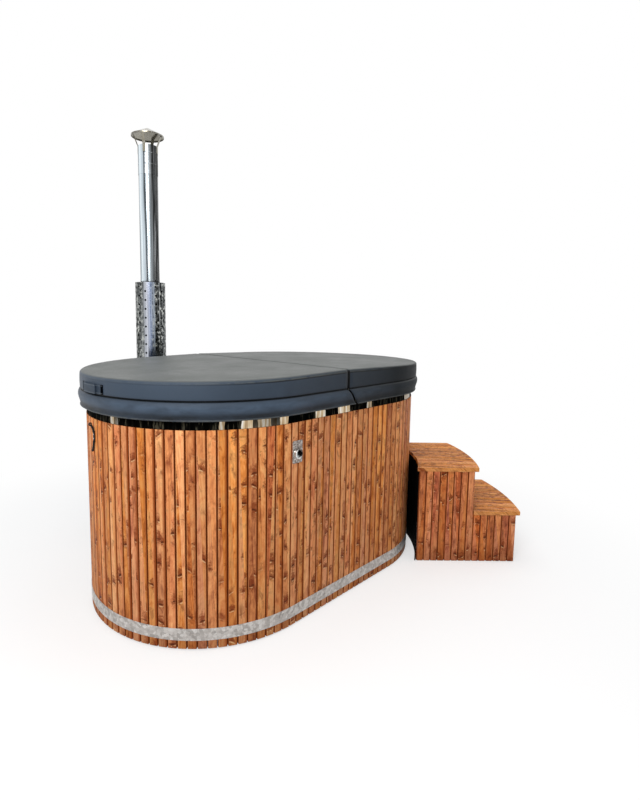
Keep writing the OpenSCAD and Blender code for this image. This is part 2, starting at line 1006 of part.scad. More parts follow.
module chamfered(w, y0, y1, c) {
    polygon([
        [-w + c, y0], [w - c, y0], [w, y0 + c], [w, y1 - c],
        [w - c, y1], [-w + c, y1], [-w, y1 - c], [-w, y0 + c]
    ]);
}

// The openings for the fire door and the ash drawer, through the front walls
module front_openings(y) {
    box(-door_open_w, door_open_w, y, stove_front + eps, door_open_z0, door_open_z1);
    box(-drawer_w / 2 - 2, drawer_w / 2 + 2, y, stove_front + eps, fire_floor, fire_floor + drawer_h + 6);
}

module stove_casing() {
    color(steel)
        translate([stove_x, 0, 0])
            difference() {
                translate([0, 0, stove_leg_h])
                    linear_extrude(stove_top - stove_leg_h)
                        chamfered(stove_w / 2, stove_back, stove_front, casing_chamfer);
                translate([0, 0, stove_leg_h + casing_t])
                    linear_extrude(stove_top - stove_leg_h - 2 * casing_t)
                        chamfered(stove_w / 2 - casing_t, stove_back + casing_t, stove_front - casing_t,
                            casing_chamfer);
                front_openings(stove_front - casing_t - eps);
                translate([0, flue_y, stove_top - 2 * casing_t])
                    cylinder(r = flue_spigot_r + fit, h = 3 * casing_t);
                for (z = [port_low_z, port_high_z])
                    along_y(0, stove_back - eps, z)
                        cylinder(r = port_r + fit, h = casing_t + 2 * eps);
            }
}

flue_spigot_r = flue_r - flue_t - fit;
spigot_h = 30;
ledge_s = 15;

// The firebox inside the water jacket, with the grate's ledges and the flue spigot
module stove_firebox() {
    color([0.25, 0.25, 0.26])
        translate([stove_x, 0, 0]) {
            difference() {
                box(-fire_w, fire_w, fire_back, fire_front, fire_z0, fire_z1);
                box(-fire_w + firebox_t, fire_w - firebox_t, fire_back + firebox_t, fire_front - firebox_t,
                    fire_floor, fire_z1 - firebox_t);
                front_openings(fire_front - firebox_t - eps);
                translate([0, flue_y, fire_z1 - 2 * firebox_t])
                    cylinder(r = flue_spigot_r - 3, h = 3 * firebox_t);
            }
            translate([0, flue_y, 0])
                tube(flue_spigot_r, flue_spigot_r - 3, fire_z1 - firebox_t, stove_top + spigot_h - fire_z1 + firebox_t);
            for (side = [-1, 1]) {
                x = side > 0 ? fire_w - firebox_t - ledge_s : -fire_w + firebox_t;
                box(x, x + ledge_s, fire_back + firebox_t, fire_front - firebox_t, grate_z - ledge_s, grate_z);
            }
        }
}

leg_s = 40;
leg_t = 4;

module stove_legs() {
    color([0.2, 0.2, 0.2])
        translate([stove_x, flue_y, 0])
            for (x = [-1, 1])
                for (y = [-1, 1])
                    scale([x, y, 1])
                        translate([stove_w / 2 - casing_chamfer - leg_s, stove_d / 2 - casing_chamfer - leg_s, 0]) {
                            difference() {
                                translate([0, 0, 5])
                                    cube([leg_s, leg_s, stove_leg_h - 5]);
                                translate([-eps, -eps, 0])
                                    cube([leg_s - leg_t + eps, leg_s - leg_t + eps, stove_leg_h - 5]);
                            }
                            cube([leg_s, leg_s, 5]);
                        }
}

grate_bar = 12;

module stove_grate() {
    w = fire_w - firebox_t - 2;
    y0 = fire_back + firebox_t + 4;
    y1 = fire_front - firebox_t - 10;
    bars = 8;
    color(black)
        translate([stove_x, 0, grate_z]) {
            for (i = [0:bars])
                translate([-w + grate_bar / 2 + i * (2 * w - grate_bar) / bars - grate_bar / 2, y0, 0])
                    cube([grate_bar, y1 - y0, grate_t]);
            for (y = [y0, (y0 + y1 - grate_bar) / 2, y1 - grate_bar])
                translate([-w, y, 0])
                    cube([2 * w, grate_bar, grate_t]);
        }
}

drawer_front_t = 5;
drawer_sheet = 2;
knob_r = 12;

// The ash drawer, with its front plate outside the casing
module ash_drawer() {
    w = drawer_w / 2;
    y0 = fire_back + firebox_t + 20;
    y1 = stove_front + seat;
    z0 = fire_floor + seat;
    color([0.3, 0.3, 0.3])
        translate([stove_x, 0, 0]) {
            difference() {
                box(-w, w, y0, y1, z0, z0 + drawer_h);
                box(-w + drawer_sheet, w - drawer_sheet, y0 + drawer_sheet, y1 - drawer_sheet,
                    z0 + drawer_sheet, z0 + drawer_h + eps);
            }
            box(-w - 14, w + 14, y1, y1 + drawer_front_t, z0 - 8, z0 + drawer_h + 12);
            along_y(0, y1 + drawer_front_t, z0 + drawer_h / 2)
                rotate_extrude()
                    polygon([[0, 0], [5, 0], [5, 14], [knob_r, 18], [knob_r, 24], [knob_r - 3, 28], [0, 29]]);
        }
}

hinge_zs = [door_z0 + 45, door_z1 - 45 - hinge_h];

// The fire door: a plate with a pressed frame, two knuckles and the latch's hole
module stove_door() {
    color([0.15, 0.15, 0.16])
        translate([stove_x, 0, 0])
            difference() {
                union() {
                    box(-door_w, door_w, door_y, door_y + door_t, door_z0, door_z1);
                    difference() {
                        box(-door_w + 24, door_w - 48, door_y + door_t, door_y + door_t + 4, door_z0 + 24, door_z1 - 24);
                        box(-door_w + 40, door_w - 64, door_y, door_y + door_t + 5, door_z0 + 40, door_z1 - 40);
                    }
                    for (z = hinge_zs) {
                        translate([hinge_x, hinge_y, z])
                            cylinder(r = hinge_r, h = hinge_h);
                        box(hinge_x, -door_w + 1, hinge_y - 3, hinge_y + 3, z, z + hinge_h);
                    }
                }
                for (z = hinge_zs)
                    translate([hinge_x, hinge_y, z - eps])
                        cylinder(r = hinge_pin_r + run, h = hinge_h + 2 * eps);
                along_y(latch_x, door_y - eps, latch_z)
                    cylinder(r = spindle_r + run, h = door_t + 2 * eps);
            }
}

gasket_w = 10;

module door_gasket() {
    w = door_open_w + 5;
    color([0.85, 0.83, 0.78])
        translate([stove_x, 0, 0])
            difference() {
                box(-w - gasket_w, w + gasket_w, stove_front + seat, door_y, door_open_z0 - 5 - gasket_w,
                    door_open_z1 + 5 + gasket_w);
                box(-w, w, stove_front, door_y + eps, door_open_z0 - 5, door_open_z1 + 5);
            }
}

barrel_h = 16;

// The casing's half of each hinge: a leaf, a lower barrel and a pin that the knuckle turns on
module door_hinges() {
    color([0.15, 0.15, 0.16])
        translate([stove_x, 0, 0])
            for (z = hinge_zs) {
                translate([hinge_x, hinge_y, z - seat - barrel_h])
                    cylinder(r = hinge_r, h = barrel_h);
                translate([hinge_x, hinge_y, z - seat - 1])
                    cylinder(r = hinge_pin_r, h = hinge_h);
                box(hinge_x - 6, hinge_x + 6, stove_front, hinge_y, z - seat - barrel_h, z - seat);
            }
}

latch_arm = 92;
latch_nose = 46;
latch_t = 6;
keeper_gap = 1;

// The latch at rest is turned up out of its keeper, by latch_rest degrees
module door_latch() {
    face = door_y + door_t;
    color(iron)
        translate([stove_x + latch_x, face, latch_z]) {
            along_y(0, fit - door_t, 0)
                cylinder(r = spindle_r, h = door_t + 2);
            rotate([0, -latch_rest, 0]) {
                along_y(0, 1, 0)
                    cylinder(r = 13, h = latch_t);
                box(0, latch_nose, 1, 1 + latch_t, -7, 7);
                box(-7, 7, 1, 1 + latch_t, -latch_arm, 0);
                along_y(0, 1, -latch_arm)
                    rotate_extrude()
                        polygon([[0, 0], [8, 0], [8, latch_t], [7, latch_t + 3], [13, latch_t + 10],
                            [15, latch_t + 20], [11, latch_t + 30], [0, latch_t + 33]]);
            }
        }
}

// A hooked keeper on the casing, open above and below, whose lip the latch's nose goes behind
module latch_keeper() {
    x0 = stove_x + door_w + 6;
    lip_y = door_y + door_t + 1 + latch_t + keeper_gap;
    color([0.15, 0.15, 0.16]) {
        box(x0 + 14, x0 + 20, stove_front, lip_y + 5, latch_z - 10, latch_z + 10);
        box(x0, x0 + 14, lip_y, lip_y + 5, latch_z - 10, latch_z + 10);
        box(x0 + 4, x0 + 14, stove_front, stove_front + 4, latch_z - 10, latch_z + 10);
    }
}

// ---------------------------------------------------------------- chimney

module at_flue() {
    translate([stove_x, flue_y, 0])
        children();
}

flue_lap = 50;
bead = 1.2;

// A flue length with a rolled bead near each end
module flue_length(z0, z1) {
    rotate_extrude()
        polygon([
            [flue_r - flue_t, z0],
            [flue_r, z0],
            [flue_r, z0 + 18],
            [flue_r + bead, z0 + 21],
            [flue_r, z0 + 24],
            [flue_r, z1 - 6],
            [flue_r + bead, z1 - 3],
            [flue_r, z1],
            [flue_r - flue_t, z1]
        ]);
}

module flue_lower() {
    color(steel)
        at_flue()
            flue_length(stove_top, flue_joint_z);
}

// The upper length, whose lower end is drawn in to push into the lower length
module flue_upper() {
    top = collar_z0 + 120;
    in_r = flue_r - flue_t - fit;
    color(steel)
        at_flue()
            rotate_extrude()
                polygon([
                    [in_r - flue_t, flue_joint_z - flue_lap],
                    [in_r, flue_joint_z - flue_lap],
                    [in_r, flue_joint_z],
                    [flue_r + bead, flue_joint_z],
                    [flue_r + bead, flue_joint_z + 6],
                    [flue_r, flue_joint_z + 9],
                    [flue_r, top],
                    [flue_r - flue_t, top],
                    [flue_r - flue_t, flue_joint_z + 4],
                    [in_r - flue_t, flue_joint_z + 2]
                ]);
}

collar_r = flue_r + fit + flue_t;

module flue_collar() {
    seams = [collar_z0 + 63, collar_z0 + 131];
    color(steel)
        at_flue()
            rotate_extrude()
                polygon(concat(
                    [[flue_r + fit, collar_z0], [collar_r, collar_z0]],
                    [for (z = seams, p = [[0, -3], [bead, 0], [0, 3]]) [collar_r + p[0], z + p[1]]],
                    [[collar_r, collar_z1], [flue_r + fit, collar_z1]]
                ));
}

cap_t = 1.5;
cap_lip = 8;
strap_w = 20;
stay_t = 2;
stay_n = 4;
stay_turn = 40;

// The conical rain cap on four flat stays that are spot-welded to the collar
module rain_cap() {
    stay_top_r = cap_r - 12;
    stay_z1 = cap_z + cap_rise * 12 / cap_r - cap_t;
    color(steel)
        at_flue() {
            rotate_extrude()
                polygon([
                    [0, cap_z + cap_rise - cap_t],
                    [cap_r - cap_t, cap_z],
                    [cap_r - cap_t, cap_z - cap_lip],
                    [cap_r, cap_z - cap_lip],
                    [cap_r, cap_z],
                    [0, cap_z + cap_rise]
                ]);
            for (i = [0:stay_n - 1])
                rotate([0, 0, stay_turn + i * 360 / stay_n])
                    translate([0, strap_w / 2, 0])
                        rotate([90, 0, 0])
                            linear_extrude(strap_w)
                                polygon([
                                    [collar_r + fit, collar_z1 - 45],
                                    [collar_r + fit + stay_t, collar_z1 - 45],
                                    [collar_r + fit + stay_t, collar_z1],
                                    [stay_top_r + stay_t, stay_z1],
                                    [stay_top_r, stay_z1 + 1],
                                    [collar_r + fit, collar_z1]
                                ]);
        }
}

shield_t = 1.5;
shield_gap = 10;
shield_cols = 6;
shield_strip_a = 40;
shield_front_a = -119;
shield_col_a = (180 - shield_strip_a) / (shield_cols - 1);

// The heat shield: staggered columns of eight-sided holes that are punched right across it,
// with a plain strip down the front and the back
module heat_shield() {
    z0 = stove_top + shield_gap;
    rows = floor((shield_top - z0 - 40) / shield_hole_pitch);
    color(steel)
        at_flue()
            difference() {
                tube(shield_r, shield_r - shield_t, z0, shield_top - z0);
                for (c = [0:shield_cols - 1])
                    for (r = [0:rows - 1])
                        translate([0, 0, shield_top - 30 - (r + (c % 2) / 2) * shield_hole_pitch])
                            rotate([0, 90, shield_front_a + shield_strip_a / 2 + c * shield_col_a])
                                cylinder(r = shield_hole_r, h = 2 * shield_r + eps, center = true, $fn = 8);
            }
}

bracket_zs = [stove_top + 50, shield_top - 50];

module shield_brackets() {
    color(steel)
        at_flue()
            for (z = bracket_zs)
                for (a = [0, 120, 240])
                    rotate([0, 0, a + 20])
                        translate([flue_r + fit, -8, z])
                            cube([shield_r - shield_t - flue_r - 2.5 * fit, 16, 2.5]);
}

// ---------------------------------------------------------------- steps

// The unit is drawn about its arcs' centre: x leads away from the tub, y runs across
arc_back = back_r - end_r - steps_gap;
panel_t = 6;
near_y = steps_shift - steps_w / 2;
far_y = steps_shift + steps_w / 2;
upper_nose_r = back_r + upper_d;
upper_riser_r = upper_nose_r - nosing;
lower_nose_r = upper_riser_r + lower_d;
lower_riser_r = lower_nose_r - nosing;
side_over = 5;
slat_lift = 3;

module at_steps() {
    translate([half_straight - arc_back * cos(steps_near), -arc_back * sin(steps_near), 0])
        rotate([0, 0, steps_turn])
            children();
}

function arc_x(r, y) = sqrt(r * r - y * y);

// Upright slats from the hollow back to the lower riser, stepped down past the upper riser
module step_side(y, turn) {
    x0 = arc_x(back_r + panel_t, abs(y) - slat_t);
    x1 = arc_x(upper_riser_r, y);
    x2 = arc_x(lower_riser_r, y);
    color(wood)
        at_steps() {
            side_slats(x0, x1, y, turn, upper_z);
            side_slats(x1, x2, y, turn, lower_z);
        }
}

module side_slats(x0, x1, y, turn, z) {
    count = round((x1 - x0) / slat_pitch);
    step = (x1 - x0) / count;
    for (i = [0:count - 1])
        translate([x0 + (i + 0.5) * step, y, slat_lift])
            rotate([0, 0, turn])
                slat(z - tread_t - slat_lift, step - groove_w, step - 2 * fit);
}

module step_near_side() {
    step_side(near_y, -90);
}

module step_far_side() {
    step_side(far_y, 90);
}

// Upright slats round an arc, between the two sides
module riser(r, z0, z1) {
    a0 = asin((near_y + slat_t + seat) / r);
    a1 = asin((far_y - slat_t - seat) / r);
    count = round((a1 - a0) * PI / 180 * r / slat_pitch);
    step = (a1 - a0) / count;
    w = step * PI / 180 * r;
    for (i = [0:count - 1])
        rotate([0, 0, a0 + (i + 0.5) * step])
            translate([r, 0, z0])
                slat(z1 - z0, w - groove_w, w * (r - slat_t) / r - 2 * fit);
}

module step_risers() {
    color(wood)
        at_steps() {
            riser(upper_riser_r, lower_z - tread_t - 60, upper_z - tread_t);
            riser(lower_riser_r, slat_lift, lower_z - tread_t);
        }
}

// A ring sector between two radii, cut square at the unit's sides
module arc_slab(r0, r1, y0, y1, z, h) {
    intersection() {
        tube(r1, r0, z, h, $fn = 480);
        box(r0 * 0.6, r1, y0, y1, z - 1, z + h + 1);
    }
}

module step_back_panel() {
    color(black)
        at_steps()
            arc_slab(back_r, back_r + panel_t - fit, near_y, far_y, slat_lift, upper_z - tread_t - slat_lift);
}

// Boards that run away from the tub, sawn to the unit's arcs
module tread(r0, r1, z) {
    w = (steps_w + 2 * side_over + tread_gap) / tread_boards;
    color(wood)
        at_steps()
            for (i = [0:tread_boards - 1]) {
                y = near_y - side_over + i * w;
                arc_slab(r0, r1, y, y + w - tread_gap, z - tread_t, tread_t);
            }
}

tread_gap = 5;

module step_upper_tread() {
    tread(back_r, upper_nose_r, upper_z);
}

module step_lower_tread() {
    tread(upper_riser_r + 1, lower_nose_r, lower_z);
}

rail_s = 26;

// Posts, straight rails under the treads, and sawn rails behind the risers
module step_frame() {
    y0 = near_y + slat_t + seat;
    y1 = far_y - slat_t - seat;
    upper_in_r = upper_riser_r - slat_t - fit - rail_s;
    lower_in_r = lower_riser_r - slat_t - fit - rail_s;
    upper_x = [back_r + 28, arc_x(upper_in_r, y1) + 6 - post_s];
    lower_x = [upper_riser_r + 12, arc_x(lower_in_r, y1) + 6 - post_s];
    color(pale_wood)
        at_steps() {
            for (level = [[upper_x, upper_z], [lower_x, lower_z]])
                for (x = level[0]) {
                    top = level[1] - tread_t;
                    box(x, x + post_s, y0, y1, top - post_s, top);
                    for (y = [y0, y1 - post_s])
                        box(x, x + post_s, y, y + post_s, 0, top - post_s);
                }
            for (rail = [
                [upper_in_r, lower_z - tread_t - 50],
                [upper_in_r, upper_z - tread_t - 90],
                [lower_in_r, 30],
                [lower_in_r, lower_z - tread_t - 90]
            ])
                arc_slab(rail[0], rail[0] + rail_s, y0, y1, rail[1], 30);
        }
}

// ---------------------------------------------------------------- the nodes

slats_front();
slats_back();
slats_left();
slats_right();
slats_bored();
hoop_band();
hoop_bolts();
joists();
base_board();
ring_frames();
floor_insulation();
wall_insulation();
rim_ring();
rim_blocks();
shell_floor();
shell_wall();
shell_rim();
bench_boards();
bench_frames();
iron_hook();
opener_plate();
trim_screws();
tub_ports();
port_strainers();
port_hoses();
hose_clamps();
drain_pipe();
drain_valve();
drain_ball();
drain_lever();
cover_panel(-1);  // cover_panel_left
skirt_half(-1);  // cover_skirt_left
cover_strap(-1);  // cover_strap_left
cover_panel(1);  // cover_panel_right
skirt_half(1);  // cover_skirt_right
cover_strap(1);  // cover_strap_right
stove_casing();
stove_firebox();
stove_legs();
stove_ports();
stove_grate();
ash_drawer();
stove_door();
door_gasket();
door_hinges();
door_latch();
latch_keeper();
flue_lower();
flue_upper();
flue_collar();
rain_cap();
heat_shield();
shield_brackets();
step_near_side();
step_far_side();
step_risers();
step_back_panel();
step_upper_tread();
step_lower_tread();
step_frame();
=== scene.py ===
"""Looks of the wooden hot tub: stained slats, padded cover, polished chimney and steps.

Every material is built from nodes and placed by the piece's own coordinates. The solids keep their
shapes. Only the cover's two panels and two skirts are made anew here, as soft pieces.
"""

import math

import bmesh
import bpy
from mathutils import Matrix, Vector, noise

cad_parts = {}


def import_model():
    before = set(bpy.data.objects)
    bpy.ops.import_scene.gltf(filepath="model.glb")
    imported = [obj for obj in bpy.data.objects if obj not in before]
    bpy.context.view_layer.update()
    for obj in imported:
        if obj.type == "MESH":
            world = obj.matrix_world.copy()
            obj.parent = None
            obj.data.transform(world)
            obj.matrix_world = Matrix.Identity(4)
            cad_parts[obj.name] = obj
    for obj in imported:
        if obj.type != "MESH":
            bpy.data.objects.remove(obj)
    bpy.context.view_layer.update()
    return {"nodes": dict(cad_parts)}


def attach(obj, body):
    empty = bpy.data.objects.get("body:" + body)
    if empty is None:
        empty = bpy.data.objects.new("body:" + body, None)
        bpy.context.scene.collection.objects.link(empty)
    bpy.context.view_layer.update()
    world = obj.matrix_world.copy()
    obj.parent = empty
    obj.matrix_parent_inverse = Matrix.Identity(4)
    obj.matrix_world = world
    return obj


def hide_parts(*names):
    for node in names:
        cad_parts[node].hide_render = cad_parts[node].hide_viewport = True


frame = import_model()
nodes = frame["nodes"]

# ------------------------------------------------------------------ sizes from the CAD, in metres
HALF = 0.375  # half of the tub's straight side
END_R = 0.600  # its round ends
SLATS = 125
SLAT_PITCH = (4 * HALF + 2 * math.pi * END_R) / SLATS
SLAT_PHASE = 0.48  # where the first groove lies, in pitches
CUP = (-0.365, 0.792)  # the opener plate's cup, across and up

COVER_R = 0.624  # the cover's round ends
COVER_Z = 1.0483  # the cover's panels stand on this level and its skirt hangs from it
MID_T = 0.094  # a panel's thickness at the fold
END_T = 0.076  # and at its round end
SLOPE = (MID_T - END_T) / (HALF + COVER_R + 0.05)
FOLD_X = -0.050  # the fold lies this far off the middle
FOLD_GAP = 0.014  # between the two panels
SLIT_SLANT = 0.070  # how far the skirt's slit moves over the skirt's height
SKIRT_H = 0.080
STRAP_HALF = 0.095 / COVER_R  # half of a strap's turn round the end
STRAP_Z0 = 1.0543  # a strap's lower edge
STRAP_H = 0.040

STEPS_TURN = math.radians(-45.3)  # the way the steps face
STEPS_AWAY = 0.258  # the risers' centre, from the middle of the tub's right end
STEPS_BEARING = math.radians(-26)
STEPS_CENTRE = Vector((HALF - STEPS_AWAY * math.cos(STEPS_BEARING),
                       -STEPS_AWAY * math.sin(STEPS_BEARING), 0.0))
STEPS_ORIGIN = Matrix.Rotation(-STEPS_TURN, 3, "Z") @ STEPS_CENTRE  # the same, turned with the steps
STEPS_NEAR_Y = -0.2585  # outer faces of the two side walls
STEPS_FAR_Y = 0.3045
UPPER_RISER_R = 1.189  # outer faces of the two risers
LOWER_RISER_R = 1.430

FLUE = Vector((-0.177, 0.967, 0.0))  # the chimney's axis


# ------------------------------------------------------------------ shader helpers
def srgb(r, g, b):
    """A colour written as 0-255 values, in linear light."""
    parts = [v / 255.0 for v in (r, g, b)]
    linear = [v / 12.92 if v <= 0.04045 else ((v + 0.055) / 1.055) ** 2.4 for v in parts]
    return (*linear, 1.0)


def shaded(colour, times, plus=0):
    """A 0-255 colour made darker or lighter, in linear light."""
    return srgb(*[c * times + plus for c in colour])


def grey(v):
    """A grey that is given in linear light."""
    return (v, v, v, 1.0)


def new_node(tree, kind, **inputs):
    """A node with its settings: p_ names a property, i and a number a socket by its place."""
    n = tree.nodes.new(kind)
    for key, value in inputs.items():
        if key.startswith("p_"):
            setattr(n, key[2:], value)
            continue
        by_place = key[0] == "i" and key[1:].isdigit()
        socket = n.inputs[int(key[1:]) if by_place else key.replace("_", " ")]
        if hasattr(value, "is_linked"):
            tree.links.new(value, socket)
        else:
            socket.default_value = value
    return n


class Shader:
    """A material with one Principled BSDF, built up node by node."""

    def __init__(self, name, **values):
        self.mat = bpy.data.materials.new(name)
        self.mat.use_nodes = True
        self.tree = self.mat.node_tree
        self.bsdf = self.tree.nodes["Principled BSDF"]
        for key, value in values.items():
            self.bsdf.inputs[key.replace("_", " ")].default_value = value

    def node(self, kind, **inputs):
        return new_node(self.tree, kind, **inputs)

    def link(self, out, name):
        self.tree.links.new(out, self.bsdf.inputs[name])

    # where a point is
    def coords(self):
        return self.node("ShaderNodeTexCoord").outputs["Object"]

    def island(self):
        return self.node("ShaderNodeNewGeometry").outputs["Random Per Island"]

    def upward(self, normal="True Normal"):
        """How far the surface faces up."""
        return self.split(self.node("ShaderNodeNewGeometry").outputs[normal])[2]

    def split(self, vec):
        return self.node("ShaderNodeSeparateXYZ", Vector=vec).outputs

    def join(self, x, y, z=0.0):
        return self.node("ShaderNodeCombineXYZ", X=x, Y=y, Z=z).outputs[0]

    def mapping(self, vec, scale=(1, 1, 1), rotation=(0, 0, 0)):
        return self.node("ShaderNodeMapping", Vector=vec, Scale=scale, Rotation=rotation).outputs[0]

    def less(self, a, b):
        """One vector less another."""
        return self.node("ShaderNodeVectorMath", p_operation="SUBTRACT", i0=a, i1=b).outputs[0]

    # numbers
    def math(self, op, a, b=0.0):
        return self.node("ShaderNodeMath", p_operation=op, i0=a, i1=b).outputs[0]

    def add(self, a, *rest):
        for b in rest:
            a = self.math("ADD", a, b)
        return a

    def mul(self, a, *rest):
        for b in rest:
            a = self.math("MULTIPLY", a, b)
        return a

    def max(self, a, *rest):
        for b in rest:
            a = self.math("MAXIMUM", a, b)
        return a

    def min(self, a, *rest):
        for b in rest:
            a = self.math("MINIMUM", a, b)
        return a

    def sub(self, a, b):
        return self.math("SUBTRACT", a, b)

    def div(self, a, b):
        return self.math("DIVIDE", a, b)

    def abs(self, a):
        return self.math("ABSOLUTE", a)

    def fract(self, a):
        return self.math("FRACT", a)

    def above(self, a, b):
        return self.math("GREATER_THAN", a, b)

    def below(self, a, b):
        return self.math("LESS_THAN", a, b)

    def hypot(self, a, b):
        return self.math("SQRT", self.add(self.mul(a, a), self.mul(b, b)))

    def swing(self, value, by):
        """A value from 0 to 1 as a swing of so much about its middle."""
        return self.mul(self.sub(value, 0.5), by)

    def turn_about(self, vec, axis):
        """The direction of a point seen from an upright axis, from 0 to 1 round it."""
        x, y, _ = self.split(vec)
        angle = self.math("ARCTAN2", self.sub(y, axis[1]), self.sub(x, axis[0]))
        return self.fract(self.add(self.div(angle, 2 * math.pi), 1.0))

    def span(self, value, lo, hi, to_lo=0.0, to_hi=1.0):
        """A value's way from lo to hi, as a way from to_lo to to_hi, held at both ends."""
        return self.node("ShaderNodeMapRange", Value=value, From_Min=lo, From_Max=hi, To_Min=to_lo,
                         To_Max=to_hi).outputs[0]

    def band(self, value, middle, half, soft):
        """1 within half of the middle, falling to 0 over soft on both sides."""
        return self.span(self.abs(self.sub(value, middle)), half + soft, half)

    # patterns and colours
    def noise(self, vec, scale=1.0, detail=2.0, rough=0.5, distortion=0.0):
        return self.node("ShaderNodeTexNoise", Vector=vec, Scale=scale, Detail=detail, Roughness=rough,
                         Distortion=distortion).outputs[0]

    def ramp(self, fac, stops, mode="LINEAR"):
        n = self.node("ShaderNodeValToRGB", Fac=fac)
        n.color_ramp.interpolation = mode
        while len(n.color_ramp.elements) > 1:
            n.color_ramp.elements.remove(n.color_ramp.elements[0])
        n.color_ramp.elements[0].position = stops[0][0]
        n.color_ramp.elements[0].color = stops[0][1]
        for pos, col in stops[1:]:
            n.color_ramp.elements.new(pos).color = col
        return n.outputs[0]

    def mix(self, fac, a, b):
        return self.node("ShaderNodeMixRGB", Fac=fac, Color1=a, Color2=b).outputs[0]

    def channels(self, colour):
        return self.node("ShaderNodeSeparateColor", Color=colour).outputs

    def bump(self, height, strength, distance):
        n = self.node("ShaderNodeBump", Height=height, Strength=strength, Distance=distance)
        self.link(n.outputs[0], "Normal")


# ------------------------------------------------------------------ places on the tub and the steps
def depth_behind_oval(s, obj):
    """How far a point lies behind the tub's outer face."""
    x, y, _ = s.split(obj)
    past = s.max(s.sub(s.abs(x), HALF), 0.0)
    return s.sub(END_R, s.hypot(past, y))


def along_oval(s, obj):
    """Distance along the tub's outline from the middle of its front."""
    x, y, _ = s.split(obj)
    flat = s.min(s.max(x, -HALF), HALF)
    past = s.sub(x, flat)
    along = s.add(flat, s.mul(s.math("ARCTAN2", past, s.mul(y, -1.0)), END_R))
    back = s.mul(s.above(y, 0.0), s.below(s.abs(past), 1e-6))
    behind = s.sub(2 * HALF + math.pi * END_R, x)
    return s.add(s.mul(along, s.sub(1.0, back)), s.mul(behind, back))


def groove_of_oval(s, along):
    """Distance past the nearest groove's middle, negative before it, and that groove's own random number."""
    # counted from well before the first groove, so that the count is never negative
    count = s.add(s.div(along, SLAT_PITCH), SLAT_PHASE + 100.5)
    off = s.mul(s.sub(s.fract(count), 0.5), SLAT_PITCH)
    cell = s.node("ShaderNodeTexWhiteNoise", p_noise_dimensions="1D", W=s.math("FLOOR", count)).outputs[0]
    return off, cell


def along_steps(s, obj):
    """Distance along a face of the step unit, near enough for its grain."""
    x, y, _ = s.split(s.mapping(obj, rotation=(0, 0, -STEPS_TURN)))
    return s.add(x, y)


def depth_behind_steps(s, obj):
    """How far a point lies behind the nearest face of the step unit's slats."""
    x, y, _ = s.split(s.less(s.mapping(obj, rotation=(0, 0, -STEPS_TURN)), tuple(STEPS_ORIGIN)))
    side = s.min(s.sub(y, STEPS_NEAR_Y), s.sub(STEPS_FAR_Y, y))
    r = s.hypot(x, y)
    upper = s.sub(UPPER_RISER_R, r)
    lower = s.sub(LOWER_RISER_R, r)
    # a point in front of the upper riser belongs to the lower one, so its depth there is made large
    just_before = -0.001
    riser = s.add(s.mul(s.below(upper, just_before), 9.0), s.max(upper, just_before))
    return s.min(side, s.min(riser, lower))


# ------------------------------------------------------------------ wood
KNOT_W = 0.050  # one knot may stand in each field of this width
KNOT_H = 0.095  # and height
BOARD_SHIFT = (37.0, 13.0, 71.0)  # how far a board's own number moves it in the pattern
STAIN = srgb(128, 56, 24)
BLOT = srgb(128, 56, 26)
KNOT_LIP = srgb(246, 208, 156)
END_GRAIN_AND_HIGHLIGHT = srgb(214, 168, 124)
# painted shade deep in the grooves
GROOVE_PAINTED_SHADE = srgb(128, 56, 10)
# painted shade before a groove, a painted highlight past it, and painted shade in its middle
BEFORE_GROOVE_PAINTED_SHADE = srgb(146, 66, 20)
PAST_GROOVE_PAINTED_HIGHLIGHT = srgb(250, 190, 130)
IN_GROOVE_PAINTED_SHADE = srgb(134, 58, 16)


def knots_in(s, u, v, wobble, share):
    """Branches cut through, lying across a slat: their stain, their pale lip and their dark core.

    Only this share of the fields has one. Each leans, bends and grows by its field's random colour.
    """
    grid = s.join(s.mul(u, 1 / KNOT_W), s.mul(v, 1 / KNOT_H))
    cells = s.node("ShaderNodeTexVoronoi", p_voronoi_dimensions="2D", Vector=grid, Scale=1.0, Randomness=0.85)
    pick, lean, big = s.channels(cells.outputs["Color"])[:3]
    keep = s.span(pick, 1 - share, 1 - share * 0.7)
    du, dv, _ = s.split(s.less(grid, cells.outputs["Position"]))
    du = s.mul(du, KNOT_W)
    dv = s.mul(dv, KNOT_H)
    dv = s.add(dv, s.mul(du, s.swing(lean, 1.2)), s.swing(wobble, 0.014))
    dv = s.add(dv, s.mul(s.mul(du, du), s.span(lean, 0, 1, -14.0, 14.0)))
    size = s.span(big, 0, 1, 0.5, 1.7)
    core = s.hypot(s.div(du, s.mul(size, 0.0180)), s.div(dv, s.mul(size, 0.0030)))
    core = s.mul(s.span(s.add(core, s.swing(wobble, 2.0)), 1.2, 0.5), keep)
    stain = s.hypot(s.div(du, 0.028), s.div(s.sub(dv, 0.006), s.mul(size, 0.030)))
    stain = s.mul(s.span(s.add(stain, s.swing(wobble, 2.2)), 1.0, 0.3), keep)
    lip = s.mul(s.band(dv, -0.0070, 0.0012, 0.0016), s.span(s.abs(du), 0.020, 0.010))
    lip = s.mul(lip, keep, s.span(wobble, 0.44, 0.52))
    return stain, lip, core


def groove_painted_light(s, colour, across, marks, groove):
    """Painted light at a groove: painted shade on the slat's side before it, strongest there, and in the
    groove's middle, and a painted highlight on the arris past it.
    """
    off, cell = groove(s, across)
    off = s.add(off, s.swing(marks, 0.005))
    before = s.mul(s.span(off, -0.0135, -0.0070), s.below(off, 0.0))
    colour = s.mix(s.mul(before, s.span(cell, 0.45, 0.9, 0.05, 0.9)), colour, BEFORE_GROOVE_PAINTED_SHADE)
    after = s.band(off, 0.0058, 0.0010, 0.0014)
    colour = s.mix(s.mul(after, s.span(cell, 0, 0.6, 0.55, 0.0)), colour, PAST_GROOVE_PAINTED_HIGHLIGHT)
    middle = s.band(off, 0.0, 0.0030, 0.0022)
    return s.mix(s.mul(middle, s.span(cell, 0, 1, 0.92, 0.55)), colour, IN_GROOVE_PAINTED_SHADE)


